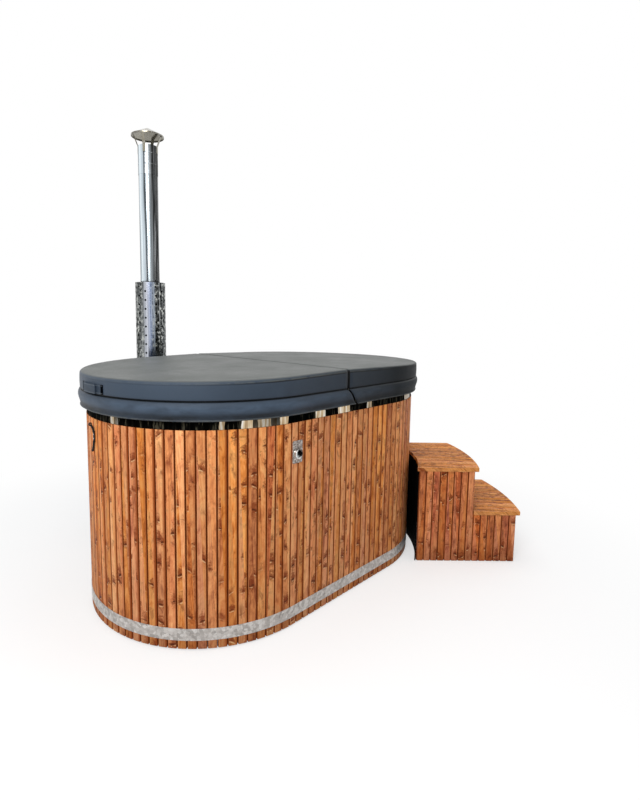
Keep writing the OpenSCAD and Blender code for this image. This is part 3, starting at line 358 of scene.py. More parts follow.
def wood(name, light, mid, dark, knot, along, knots, depth=None, groove=None, turn=None):
    """Stained softwood. The grain runs upright, or along the steps where a turn is given."""
    s = Shader(name)
    obj = s.coords()
    rnd = s.island()
    height = s.split(obj)[2]
    if turn is None:
        across, up = along(s, obj), height
    else:
        x, y, _ = s.split(s.mapping(obj, rotation=(0, 0, -turn)))
        across, up = s.add(x, height), y
    u = s.add(across, s.mul(rnd, BOARD_SHIFT[0]))
    v = s.add(up, s.mul(rnd, BOARD_SHIFT[2]))
    vec = s.join(u, s.mul(rnd, BOARD_SHIFT[1]), v)
    wobble = s.noise(s.mapping(vec, scale=(90, 1, 110)), detail=3, rough=0.6)
    stain, lip, core = knots_in(s, u, v, wobble, knots)
    # slanting marks, clouds of stain, growth rings bent round the knots, and the fine grain
    slanting = s.mapping(vec, scale=(30, 1, 15), rotation=(0, 0.5, 0))
    marks = s.noise(slanting, detail=4, rough=0.62, distortion=0.5)
    broad = s.noise(s.mapping(vec, scale=(9, 1, 3.0)), detail=1.5)
    field = s.noise(s.mapping(vec, scale=(16, 1, 1.0)), detail=1.5, rough=0.45)
    rings = s.math("SINE", s.mul(s.add(s.mul(field, 9.0), stain), 6.0))
    rings = s.math("POWER", s.abs(rings), 1.6)
    fine = s.noise(s.mapping(vec, scale=(420, 1, 14)), detail=3, rough=0.65)
    tone = s.add(s.swing(rings, 0.16), s.swing(fine, 0.60), s.swing(marks, 1.5), s.swing(broad, 0.8),
                 s.swing(rnd, 0.30), 0.50)
    stops = [(0.02, dark), (0.46, mid), (0.86, light), (1.0, light)]
    colour = s.ramp(tone, [(pos, srgb(*c)) for pos, c in stops])
    # each board has its own brightness, strength of colour and hue
    value = s.span(s.fract(s.mul(rnd, 7.3)), 0, 1, 0.87, 1.10)
    if turn is None:
        # painted light: lighter towards the top, as light falls from above; and darker towards the foot
        value = s.mul(value, s.span(height, 0.10, 0.95, 0.92, 1.10), s.span(height, 0.03, 0.12, 0.72, 1.0))
    colour = s.node("ShaderNodeHueSaturation", Color=colour, Fac=1.0, Value=value,
                    Saturation=s.span(s.fract(s.mul(rnd, 11.7)), 0, 1, 0.90, 1.02),
                    Hue=s.span(s.fract(s.mul(rnd, 17.3)), 0.6, 1, 0.500, 0.491)).outputs[0]
    blots = s.mul(s.span(marks, 0.50, 0.66), s.span(broad, 0.42, 0.58))
    colour = s.mix(s.mul(blots, 0.70), colour, BLOT)
    colour = s.mix(s.mul(stain, 0.85), colour, STAIN)
    colour = s.mix(s.mul(lip, 0.62), colour, KNOT_LIP)
    colour = s.mix(s.mul(core, 0.75), colour, srgb(*knot))
    if turn is None:
        # faces turned up are paler: the pale end grain of the sawn ends, and a painted highlight where light
        # falls on them
        colour = s.mix(s.mul(s.above(s.upward(), 0.9), 0.45), colour, END_GRAIN_AND_HIGHLIGHT)
    # painted shade and highlight beside the grooves
    if groove is not None:
        colour = groove_painted_light(s, colour, across, marks, groove)
    if depth is not None:
        # painted shade: darkest deep in the grooves themselves
        deep = s.span(depth(s, obj), 0.0004, 0.0040)
        colour = s.mix(s.mul(deep, 0.85), colour, GROOVE_PAINTED_SHADE)
    s.link(colour, "Base Color")
    s.link(s.span(fine, 0.3, 0.7, 0.42, 0.64), "Roughness")
    s.bsdf.inputs["Specular IOR Level"].default_value = 0.10
    relief = s.sub(s.mul(fine, 0.8), s.mul(core, 0.8))
    s.bump(s.add(relief, s.mul(rings, 0.35)), 0.35, 0.0007)
    return s.mat


def raw_wood(name):
    """Sawn timber without stain, for the parts inside."""
    s = Shader(name, Roughness=0.75)
    fine = s.noise(s.mapping(s.coords(), scale=(30, 160, 160)), detail=4, rough=0.6)
    s.link(s.ramp(fine, [(0.2, srgb(150, 108, 66)), (0.8, srgb(214, 176, 124))]), "Base Color")
    s.bump(fine, 0.3, 0.0008)
    return s.mat


# ------------------------------------------------------------------ metal
def metal(name, colour, rough, stretch=(60, 60, 60), metallic=1.0):
    """Steel or iron, with brush lines along an axis where stretch is given."""
    wear = 0.08  # how far its roughness varies
    s = Shader(name, Metallic=metallic)
    obj = s.coords()
    lines = s.noise(s.mapping(obj, scale=stretch), detail=4, rough=0.6)
    cloud = s.noise(obj, scale=9, detail=3, rough=0.6)
    s.link(s.mix(s.span(cloud, 0.35, 0.7), shaded(colour, 0.80), srgb(*colour)), "Base Color")
    brushed = s.span(lines, 0.3, 0.7, rough - wear, rough + wear)
    s.link(s.add(brushed, s.span(cloud, 0.3, 0.7, 0, wear)), "Roughness")
    s.bump(lines, 0.12, 0.0004)
    return s.mat


def painted_reflection_tube(name, reflection_stops, rough, axis, wobble, glint_paint=0.0):
    """Polished sheet rolled into a tube, with painted reflections: upright streaks of reflected light and
    dark painted round the axis, from 0 to 1.
    """
    s = Shader(name, Metallic=1.0, IOR=1.0)
    obj = s.coords()
    drift = s.noise(s.mapping(obj, scale=(3, 3, 2.6)), detail=2)
    turn = s.add(s.turn_about(obj, axis), s.swing(drift, wobble))
    colour = s.ramp(turn, [(pos, srgb(*c)) for pos, c in reflection_stops])
    # fine upright polish lines, their light and dark reflections painted in
    lines = s.noise(s.mapping(obj, scale=(240, 240, 2.0)), detail=4, rough=0.6)
    colour = s.mix(s.span(lines, 0.52, 0.70, 0.0, 0.5), colour, srgb(240, 244, 248))
    colour = s.mix(s.span(lines, 0.44, 0.34, 0.0, 0.5), colour, srgb(70, 76, 80))
    if glint_paint:
        # painted glints and painted shadow spots: the small lights and darks that the dents of the punched
        # holes throw
        spots = s.noise(s.mapping(obj, scale=(60, 60, 42)), detail=4, rough=0.7)
        dull = s.span(s.channels(colour)[0], 0.30, 0.14)
        colour = s.mix(s.mul(s.span(spots, 0.54, 0.62), dull, glint_paint), colour, srgb(214, 216, 210))
        colour = s.mix(s.mul(s.span(spots, 0.52, 0.44), dull, glint_paint), colour, srgb(8, 10, 8))
    s.link(colour, "Base Color")
    # the darkest streaks reflect nothing, or their edges would go pale
    s.link(s.span(s.channels(colour)[0], 0.020, 0.075), "Metallic")
    s.link(s.span(lines, 0.3, 0.7, rough - 0.04, rough + 0.06), "Roughness")
    s.bump(s.noise(s.mapping(obj, scale=(30, 30, 5)), detail=3), 0.15, 0.0008)
    return s.mat


def mirror_band(name, streaks):
    """The polished rim: its apron has painted reflections, dark streaks and a few pale ones, as such a strip
    shows them.
    """
    plain_steel = srgb(214, 214, 212)
    s = Shader(name, Metallic=1.0, IOR=1.0)
    obj = s.coords()
    z = s.split(obj)[2]
    turn = s.turn_about(obj, (0.0, 0.0))
    sharp = s.noise(s.join(s.mul(turn, 420.0), s.mul(z, 8.0)), rough=0.6)
    drift = s.noise(s.join(s.mul(turn, 60.0), s.mul(z, 12.0)))
    pale = s.ramp(s.add(turn, s.swing(drift, 0.004)), [(pos, grey(v)) for pos, v in streaks], mode="CONSTANT")
    # painted reflections: the tones of the dark streaks and of the pale ones
    dim = s.ramp(sharp, [(0.40, srgb(4, 4, 3)), (0.57, srgb(16, 15, 12)), (0.61, srgb(78, 74, 60)),
                         (0.66, srgb(26, 25, 21))])
    bright = s.ramp(sharp, [(0.30, srgb(150, 120, 86)), (0.50, srgb(206, 184, 150)),
                            (0.65, srgb(236, 232, 224))])
    top = s.span(s.upward(), 0.5, 0.9)
    inside = s.span(depth_behind_oval(s, obj), 0.012, 0.020)
    colour = s.mix(top, s.mix(pale, dim, bright), plain_steel)
    s.link(s.mix(inside, colour, plain_steel), "Base Color")
    # the dark streaks reflect nothing
    s.link(s.span(s.max(pale, inside, top), 0.0, 0.6, 0.02, 1.0), "Metallic")
    s.link(s.span(sharp, 0.3, 0.7, 0.05, 0.12), "Roughness")
    s.bump(s.noise(s.mapping(obj, scale=(14, 14, 4))), 0.10, 0.001)
    return s.mat


def galvanised(name):
    """The hoop's zinc, spangled and scuffed, with a painted dark reflection at its far end."""
    s = Shader(name, Metallic=0.35)
    obj = s.coords()
    cells = s.node("ShaderNodeTexVoronoi", Vector=obj, Scale=75.0)
    tone = s.channels(cells.outputs["Color"])[0]
    streak = s.noise(s.mapping(obj, scale=(26, 26, 90)), detail=4, rough=0.7)
    value = s.add(s.mul(tone, 0.42), s.mul(streak, 0.60))
    colour = s.ramp(value, [(0.15, srgb(140, 135, 130)), (0.50, srgb(188, 183, 178)),
                            (0.8, srgb(220, 217, 213))])
    scuff = s.noise(s.mapping(obj, scale=(60, 60, 30)), detail=5, rough=0.7)
    colour = s.mix(s.mul(s.span(scuff, 0.60, 0.70), 0.6), colour, srgb(92, 84, 78))
    # painted dark reflection at the far end, beside the steps
    far = s.mul(s.span(s.split(obj)[0], 0.84, 0.93), 0.8)
    s.link(s.mix(far, colour, srgb(70, 52, 42)), "Base Color")
    s.link(s.span(streak, 0.3, 0.7, 0.34, 0.62), "Roughness")
    s.bump(streak, 0.4, 0.0008)
    return s.mat


def plate_steel(name):
    """Worn bright steel, mottled; the cup's rim has a painted highlight at its left and painted shade at its
    right, and its hollow is painted dark as shade, with a painted highlight at its lower left.
    """
    s = Shader(name, Metallic=0.9)
    obj = s.coords()
    x, _, z = s.split(obj)
    specks = s.noise(obj, scale=130, detail=4, rough=0.7)
    ragged = s.swing(specks, 0.045)
    dx = s.sub(x, CUP[0])
    dz = s.sub(z, CUP[1])
    out = s.add(s.hypot(dx, dz), ragged)
    right = s.add(dx, s.mul(dz, 0.7), ragged)
    colour = s.ramp(specks, [(0.30, srgb(88, 82, 78)), (0.50, srgb(140, 130, 124)),
                             (0.68, srgb(214, 208, 202))])
    # painted highlight on the cup's rim at its left, painted shade at its right
    edge = s.mix(s.span(right, -0.008, 0.008), srgb(240, 242, 240), srgb(70, 66, 64))
    colour = s.mix(s.span(out, 0.0240, 0.0215), colour, edge)
    # painted shade in the hollow, and a painted highlight on its inner wall at the lower left
    hollow = s.mix(s.span(right, -0.004, 0.002), srgb(200, 204, 204), srgb(5, 5, 5))
    colour = s.mix(s.span(out, 0.0175, 0.0150), colour, hollow)
    s.link(colour, "Base Color")
    s.link(s.span(specks, 0.3, 0.7, 0.22, 0.45), "Roughness")
    s.bump(specks, 0.3, 0.0008)
    return s.mat


# ------------------------------------------------------------------ skins and plain finishes
PIPING_DROP = 0.0105  # the piping's middle, under the sloping top
PIPING_SHADE_DROP = 0.0155  # and the painted shadow line's below it
SKIRT_PAINTED_HIGHLIGHT_Z = COVER_Z - 0.030  # the skirt's painted highlight band
SKIRT_PAINTED_SHADE_Z = COVER_Z - 0.066  # its painted shade band
HEM_Z = COVER_Z - SKIRT_H + 0.0035  # and its stitched hem
STITCH_PITCH = 0.0085
STITCH_BORDER = 0.0045  # the straps' rows of stitches, from their edges
END_SLIT_PAINTED_SHADE = (0.0160, 0.0130)  # painted shadow of the slit at the straps' ends, darkening between these distances


def vinyl(name, colour, top_colour):
    """Grained cover skin: a paler top, its painted sheen; a piped seam under its edge with a painted
    highlight and a painted shadow line; a sewn seam at the skirt, painted dark as shade; painted light and
    shade on the skirt and along the sides.
    """
    s = Shader(name)
    obj = s.coords()
    x, y, z = s.split(obj)
    top_painted_sheen = srgb(*top_colour)
    grain = s.node("ShaderNodeTexVoronoi", p_feature="DISTANCE_TO_EDGE", Vector=obj, Scale=700.0).outputs[0]
    folds = s.noise(s.mapping(obj, scale=(9, 9, 22)), detail=4, rough=0.55, distortion=0.4)
    cloud = s.noise(obj, scale=5, detail=4, rough=0.6)
    worn = s.noise(s.mapping(obj, scale=(30, 30, 60)), detail=3, rough=0.6)
    top = s.upward("Normal")
    side = s.span(top, 0.75, 0.45)
    body = s.mix(s.span(cloud, 0.35, 0.68), srgb(*colour), shaded(colour, 1.14, 3))
    # piping with a painted highlight in the top's sheen colour, and a painted shadow line under it
    fall = s.mul(s.abs(s.sub(x, FOLD_X)), SLOPE)
    drop = s.sub(s.sub(COVER_Z + MID_T, fall), z)
    piping = s.mul(s.band(drop, PIPING_DROP, 0.0024, 0.0012), s.span(worn, 0.36, 0.52))
    body = s.mix(s.mul(s.band(drop, PIPING_SHADE_DROP, 0.0020, 0.0014), side), body, shaded(colour, 0.42))
    body = s.mix(s.mul(piping, side, 0.75), body, top_painted_sheen)
    # painted shade in the sewn seam's recess, and the skirt's painted highlight band and painted shade band
    body = s.mix(s.mul(s.band(z, COVER_Z + 0.0010, 0.0036, 0.0026), 0.92), body, shaded(colour, 0.2))
    skirt_highlight_paint = s.mul(s.band(z, SKIRT_PAINTED_HIGHLIGHT_Z, 0.006, 0.022), s.span(folds, 0.40, 0.60, 0.35, 0.9))
    body = s.mix(skirt_highlight_paint, body, shaded(colour, 1.5, 6))
    low = s.mul(s.band(z, SKIRT_PAINTED_SHADE_Z, 0.006, 0.014), s.span(folds, 0.36, 0.62, 0.95, 0.35))
    body = s.mix(low, body, shaded(colour, 0.42))
    # painted light: lighter at the left end, where light falls; painted shade: darker and with less sheen
    # towards the right
    left = s.mul(s.span(x, -0.50, -0.85), s.span(z, COVER_Z + 0.003, COVER_Z + 0.008))
    body = s.mix(s.mul(left, 0.7), body, shaded(colour, 1.3, 6))
    shade = s.mul(s.span(x, -0.45, 0.35), s.below(y, 0.0))
    body = s.mix(s.mul(shade, 0.9), body, srgb(34, 36, 37))
    # the fold: painted shade in the slit at both sides; between them its lips take the top's sheen colour and
    # its inner faces are painted pale against their shade
    on_panel = s.above(z, COVER_Z + 0.010)
    outside = s.above(s.abs(y), COVER_R - 0.03)
    lips = s.mul(s.band(x, FOLD_X, 0.018, 0.003), on_panel)
    body = s.mix(s.mul(lips, s.sub(1.0, outside)), body, top_painted_sheen)
    slit = s.mul(s.band(x, FOLD_X, 0.0085, 0.0025), s.above(z, COVER_Z))
    body = s.mix(s.mul(slit, side), body, s.mix(outside, srgb(100, 104, 102), srgb(2, 2, 3)))
    hem = s.mul(s.band(z, HEM_Z, 0.0022, 0.0012), s.span(worn, 0.30, 0.50))
    body = s.mix(s.mul(hem, 0.45), body, shaded(top_colour, 1.1))
    # painted sheen: faces turned up on the panels take the top's pale colour
    s.link(s.mix(s.mul(s.span(top, 0.45, 0.97), on_panel), body, top_painted_sheen), "Base Color")
    s.link(s.span(cloud, 0.3, 0.7, 0.40, 0.54), "Roughness")
    s.link(s.span(s.mul(shade, side), 0.0, 1.0, 0.22, 0.03), "Specular IOR Level")
    s.bump(s.add(s.mul(s.span(grain, 0.0, 0.25), 0.25), s.mul(folds, 2.2)), 0.34, 0.002)
    return s.mat


def strap_skin(name, colour):
    """The straps' skin: near the cover's own, with a stitched border, and its ends painted near black as the
    shadow of the slit there.
    """
    s = Shader(name, Roughness=0.5)
    obj = s.coords()
    x, y, z = s.split(obj)
    turn = s.abs(s.math("ARCTAN2", y, s.sub(s.abs(x), HALF)))
    to_end = s.mul(s.sub(STRAP_HALF, turn), COVER_R)
    cloud = s.noise(s.mapping(obj, scale=(24, 24, 60)), detail=4, rough=0.6)
    body = s.mix(s.span(cloud, 0.35, 0.68), srgb(*colour), shaded(colour, 1.25))
    body = s.mix(s.span(to_end, *END_SLIT_PAINTED_SHADE), body, srgb(6, 8, 12))
    stitch = s.above(s.fract(s.mul(turn, COVER_R / STITCH_PITCH)), 0.42)
    rows = s.add(s.band(z, STRAP_Z0 + STITCH_BORDER, 0.0011, 0.0005),
                 s.band(z, STRAP_Z0 + STRAP_H - STITCH_BORDER, 0.0011, 0.0005))
    s.link(s.mix(s.mul(rows, stitch, 0.35), body, srgb(150, 158, 164)), "Base Color")
    s.link(s.span(to_end, *END_SLIT_PAINTED_SHADE, 0.16, 0.0), "Specular IOR Level")
    s.bump(cloud, 0.4, 0.001)
    return s.mat


def plain(name, colour, rough, scale=60.0, metallic=0.0, spec=0.5):
    """A matt or painted finish with a little mottling and texture."""
    s = Shader(name, Metallic=metallic, Specular_IOR_Level=spec)
    mottle = s.noise(s.coords(), scale=scale, detail=4, rough=0.6)
    s.link(s.mix(mottle, shaded(colour, 0.82), srgb(*colour)), "Base Color")
    s.link(s.span(mottle, 0.3, 0.7, rough - 0.08, rough + 0.08), "Roughness")
    s.bump(mottle, 0.2, 0.0006)
    return s.mat


# ------------------------------------------------------------------ the finishes
# painted reflections: how pale the rim's apron is, from each of these turns on
APRON_PAINTED_REFLECTIONS = [
    (0.00, 0.0), (0.11, 0.8), (0.14, 0.0), (0.38, 0.0), (0.40, 0.7), (0.41, 0.0), (0.5125, 0.7),
    (0.5185, 0.25), (0.522, 0.0), (0.5970, 0.7), (0.5982, 0.0), (0.6130, 1.0), (0.6150, 0.1),
    (0.6168, 1.0), (0.6195, 0.1), (0.6235, 0.55), (0.6365, 0.1), (0.6420, 1.0), (0.6510, 0.0),
    (0.6870, 0.9), (0.7010, 0.0), (0.7260, 0.95), (0.7480, 0.0), (0.7840, 0.6), (0.7960, 0.0),
    (0.86, 0.5), (0.88, 0.0)]
# painted reflections: the colours of the chimney's parts at these turns, streaks of reflected light and dark
FLUE_PAINTED_REFLECTIONS = [
    (0.00, (60, 64, 66)), (0.08, (180, 190, 196)), (0.22, (90, 94, 94)), (0.36, (40, 42, 42)),
    (0.43, (48, 52, 52)), (0.455, (96, 102, 104)), (0.487, (190, 202, 208)), (0.509, (240, 250, 255)),
    (0.529, (234, 246, 252)), (0.548, (206, 218, 226)), (0.570, (202, 214, 222)), (0.583, (178, 190, 198)),
    (0.596, (92, 100, 106)), (0.607, (64, 70, 74)), (0.628, (64, 70, 74)), (0.638, (140, 150, 156)),
    (0.655, (190, 202, 208)), (0.668, (164, 174, 180)), (0.683, (108, 114, 118)), (0.700, (128, 134, 138)),
    (0.715, (90, 94, 96)), (0.735, (44, 44, 43)), (0.80, (42, 42, 41)), (0.84, (58, 58, 56)),
    (0.88, (46, 46, 45)), (1.00, (60, 64, 66))]
SHIELD_PAINTED_REFLECTIONS = [
    (0.00, (70, 74, 74)), (0.10, (52, 56, 56)), (0.17, (160, 176, 190)), (0.24, (60, 64, 66)),
    (0.40, (100, 106, 104)), (0.50, (80, 84, 80)), (0.58, (110, 114, 114)), (0.63, (190, 194, 206)),
    (0.67, (128, 144, 176)), (0.69, (110, 120, 136)), (0.702, (150, 160, 172)), (0.72, (62, 64, 62)),
    (0.86, (70, 74, 74)), (1.00, (70, 74, 74))]
CAP_PAINTED_REFLECTIONS = [
    (0.00, (120, 116, 104)), (0.30, (150, 146, 134)), (0.55, (112, 108, 96)), (0.62, (150, 145, 130)),
    (0.68, (128, 122, 108)), (0.75, (100, 96, 84)), (0.85, (146, 142, 130)), (1.00, (120, 116, 104))]

SLAT_WOOD = wood("stained slats", (255, 182, 108), (226, 138, 70), (146, 70, 28), (60, 24, 10), along_oval,
                 knots=0.50, depth=depth_behind_oval, groove=groove_of_oval)
STEP_WOOD = wood("stained step slats", (255, 164, 92), (204, 112, 56), (96, 40, 18), (40, 16, 8), along_steps,
                 knots=0.58, depth=depth_behind_steps)
TREAD_WOOD = wood("stained treads", (252, 176, 84), (206, 126, 46), (86, 44, 14), (50, 24, 10), along_steps,
                  knots=0.35, turn=STEPS_TURN)
RAW_WOOD = raw_wood("sawn timber")
RIM_PAINTED_REFLECTIONS = mirror_band("polished rim steel", APRON_PAINTED_REFLECTIONS)
FLUE_STEEL = painted_reflection_tube("polished flue steel", FLUE_PAINTED_REFLECTIONS, 0.24, FLUE, wobble=0.05)
SHIELD_STEEL = painted_reflection_tube("polished shield steel", SHIELD_PAINTED_REFLECTIONS, 0.16, FLUE, wobble=0.02, glint_paint=0.8)
CAP_STEEL = painted_reflection_tube("polished cap steel", CAP_PAINTED_REFLECTIONS, 0.20, FLUE, wobble=0.05)
SATIN = metal("satin steel", (214, 216, 218), 0.42, stretch=(300, 300, 8), metallic=0.7)
ZINC = galvanised("galvanised hoop")
IRON = metal("black iron", (26, 25, 25), 0.45, metallic=0.6)
VINYL = vinyl("cover skin", (46, 56, 68), (86, 89, 87))
STRAP_SKIN = strap_skin("strap skin", (48, 57, 68))
PLATE_STEEL = plate_steel("opener plate steel")
RUBBER = plain("black rubber", (24, 24, 25), 0.7)
STOVE_STEEL = metal("rolled stove steel", (168, 170, 172), 0.34, stretch=(6, 6, 120))
STOVE_BLACK = plain("heat-proof black", (30, 30, 31), 0.55, metallic=0.3)
GASKET = plain("braided gasket", (206, 200, 186), 0.9, scale=400)
BRASS = metal("turned brass", (214, 178, 96), 0.28)
LEVER_RED = plain("red lever coat", (150, 22, 16), 0.35)
# painted shade: a near-black, barely shiny panel stands for the shade in the steps' back
PAINTED_SHADE_PANEL = plain("painted shade panel", (3, 3, 3), 0.9, spec=0.03)
FOAM = plain("insulating foam", (222, 206, 150), 0.9, scale=90)

FINISH = {
    "slats_front": SLAT_WOOD, "slats_back": SLAT_WOOD, "slats_left": SLAT_WOOD, "slats_right": SLAT_WOOD,
    "slats_bored": SLAT_WOOD, "hoop_band": ZINC, "hoop_bolts": ZINC,
    "joists": RAW_WOOD, "base_board": RAW_WOOD, "ring_frames": RAW_WOOD,
    "floor_insulation": FOAM, "wall_insulation": FOAM, "rim_ring": RAW_WOOD, "rim_blocks": RAW_WOOD,
    "shell_floor": SATIN, "shell_wall": SATIN, "shell_rim": RIM_PAINTED_REFLECTIONS,
    "bench_boards": RAW_WOOD, "bench_frames": RAW_WOOD,
    "iron_hook": IRON, "opener_plate": PLATE_STEEL, "trim_screws": SATIN,
    "tub_ports": SATIN, "port_strainers": SATIN, "port_hoses": RUBBER, "hose_clamps": SATIN,
    "drain_pipe": SATIN, "drain_valve": BRASS, "drain_ball": SATIN, "drain_lever": LEVER_RED,
    "cover_panel_left": VINYL, "cover_skirt_left": VINYL, "cover_strap_left": STRAP_SKIN,
    "cover_panel_right": VINYL, "cover_skirt_right": VINYL, "cover_strap_right": STRAP_SKIN,
    "stove_casing": STOVE_STEEL, "stove_firebox": STOVE_BLACK, "stove_legs": STOVE_BLACK,
    "stove_ports": SATIN,
    "stove_grate": IRON, "ash_drawer": STOVE_BLACK, "stove_door": STOVE_BLACK, "door_gasket": GASKET,
    "door_hinges": STOVE_BLACK, "door_latch": IRON, "latch_keeper": STOVE_BLACK,
    "flue_lower": FLUE_STEEL, "flue_upper": FLUE_STEEL, "flue_collar": FLUE_STEEL, "rain_cap": CAP_STEEL,
    "heat_shield": SHIELD_STEEL, "shield_brackets": SATIN,
    "step_near_side": STEP_WOOD, "step_far_side": STEP_WOOD, "step_risers": STEP_WOOD,
    "step_back_panel": PAINTED_SHADE_PANEL,
    "step_upper_tread": TREAD_WOOD, "step_lower_tread": TREAD_WOOD, "step_frame": RAW_WOOD,
}
for name, obj in nodes.items():
    obj.data.materials.clear()
    obj.data.materials.append(FINISH[name])

# ------------------------------------------------------------------ cover
FOOT_H = 0.005  # the panel's foot is drawn in over this height
EDGE_R = 0.012  # its top edge is rounded
EDGE_TURNS = [math.radians(v) for v in (0, 22, 45, 68, 90)]
CUT_POINTS = 22  # points across the panel's cut face
TOP_RINGS = (0.97, 0.92, 0.85, 0.76, 0.65, 0.52, 0.38, 0.22, 0.08)  # the top's rings, as shares of its rim
PUFF = 0.0025  # how far the top's middle swells
# depth of the creases everywhere, how much deeper they are at the fold, and how far that reaches
SIDE_CREASES = (0.0012, 0.004, 0.10)
TOP_CREASES = (0.0015, 0.003, 0.08)
SKIRT_THICK = 0.0024
SKIRT_INSET = 0.0012  # the skirt's seam, from the panel's side
SKIRT_TOP = COVER_Z - 0.0004
SKIRT_FALL = SKIRT_H - 0.001  # from there to the hem
# how far the skirt stands out, by its drop as a share of its height
SKIRT_BELLY = [
    (-0.0008, 0.0), (0.0044, 0.07), (0.0078, 0.16), (0.0096, 0.27), (0.0094, 0.39), (0.0076, 0.51),
    (0.0048, 0.63), (0.0020, 0.75), (0.0000, 0.86), (-0.0004, 0.915), (0.0012, 0.935), (0.0020, 0.96),
    (0.0014, 0.985), (0.0002, 1.0)]


def object_from(bm, name, material):
    """A smooth object of what was built in bm."""
    bmesh.ops.recalc_face_normals(bm, faces=bm.faces)
    mesh = bpy.data.meshes.new(name)
    bm.to_mesh(mesh)
    bm.free()
    for poly in mesh.polygons:
        poly.use_smooth = True
    obj = bpy.data.objects.new(name, mesh)
    bpy.context.scene.collection.objects.link(obj)
    obj.data.materials.append(material)
    return obj


def oval_path(x_start, r, n_side=16, n_arc=72):
    """Points from the cut at x_start along the front, round the end and back, as (x, y)."""
    turns = [math.pi * (i / n_arc - 0.5) for i in range(n_arc + 1)]
    pts = [(x_start + (HALF - x_start) * i / n_side, -r) for i in range(n_side)]
    pts += [(HALF + r * math.cos(a), r * math.sin(a)) for a in turns]
    pts += [(HALF + (x_start - HALF) * (i + 1) / n_side, r) for i in range(n_side)]
    return pts


def outward(x, y):
    """The level direction that faces away from the tub's middle line."""
    d = Vector((max(x - HALF, 0.0), y, 0.0))
    return d.normalized() if d.length > 1e-6 else Vector((0, 0, 0))


def lid_top(x, side):
    """Height of the sloping top at x, where x is measured towards this panel's round end."""
    return COVER_Z + MID_T - SLOPE * abs(x - side * FOLD_X)


def crease(x, y, z, seed):
    """A long and a short wrinkle laid over each other."""
    long = noise.noise(Vector((x * 9 + seed, y * 9, z * 14)))
    short = noise.noise(Vector((x * 24, y * 24 + seed, z * 30)))
    return long * 0.5 + short * 0.25


def crease_depth(x, cut, everywhere, at_fold, reach):
    """How deep the creases are at x, for a panel that is cut at the fold there."""
    return everywhere + at_fold * math.exp(-abs(x - cut) / reach)


def bridge(bm, loops, ring, tube):
    """Faces between neighbouring loops. A ring closes each loop, a tube closes the last onto the first."""
    n = len(loops[0])
    following = loops[1:] + loops[:1] if tube else loops[1:]
    for a, b in zip(loops, following):
        for i in range(n if ring else n - 1):
            j = (i + 1) % n
            bm.faces.new((a[i], a[j], b[j], b[i]))


def face_side(bm, side):
    """Both halves are made with the round end at the right, and the left one is then turned round."""
    if side < 0:
        bmesh.ops.rotate(bm, verts=bm.verts, cent=(0, 0, 0), matrix=Matrix.Rotation(math.pi, 3, "Z"))


def cover_panel(side):
    """A tapered foam panel in a sewn skin, with a puffed top and creases beside the fold."""
    cut = side * FOLD_X + FOLD_GAP / 2
    # how far each row of points stands in, its height in its own part, and that part
    rows = [(0.004, 0.0, "foot"), (0.0015, 0.0015, "foot"), (0.0, FOOT_H, "foot")]
    rows += [(-0.001 * math.sin(math.pi * t), t, "wall") for t in (0.2, 0.4, 0.6, 0.8)]
    rows += [(EDGE_R * (1 - math.cos(a)), -EDGE_R * (1 - math.sin(a)), "edge") for a in EDGE_TURNS]
    bm = bmesh.new()
    loops = []
    for inset, level, kind in rows:
        loop = []
        r = COVER_R - inset
        x_cut = cut + max(inset, 0) * 0.7  # the cut face is drawn in less
        pts = oval_path(x_cut, r)
        pts += [(x_cut, r - 2 * r * (i + 1) / (CUT_POINTS + 1)) for i in range(CUT_POINTS)]
        for x, y in pts:
            top = lid_top(x, side)
            if kind == "foot":
                z = COVER_Z + level
            elif kind == "edge":
                z = top + level
            else:
                z = COVER_Z + FOOT_H + (top - EDGE_R - COVER_Z - FOOT_H) * level
            push = crease(x * side, y * side, z, 3.0) * crease_depth(x, cut, *SIDE_CREASES)
            if kind == "foot":
                push *= 0.3
            elif kind == "edge":
                z += push * 0.4
            d = Vector((0, 0, 0)) if abs(x - x_cut) < 1e-6 else outward(x, y)
            loop.append(bm.verts.new((x + d.x * push, y + d.y * push, z)))
        loops.append(loop)
    middle = 0.5 * (cut + HALF + COVER_R) - 0.05
    rim = [v.co.copy() for v in loops[-1]]
    for k in TOP_RINGS:
        loop = []
        for p in rim:
            x = middle + (p.x - middle) * k
            y = p.y * k
            puff = PUFF * (1 - k ** 4)
            dent = crease(x * side, y * side, 1.0, 8.0) * crease_depth(x, cut, *TOP_CREASES)
            loop.append(bm.verts.new((x, y, lid_top(x, side) + puff + dent)))
        loops.append(loop)
    bridge(bm, loops, ring=True, tube=False)
    bm.faces.new(loops[-1])
    bm.faces.new(list(reversed(loops[0])))
    face_side(bm, side)
    return object_from(bm, "cover_pad_right" if side > 0 else "cover_pad_left", VINYL)


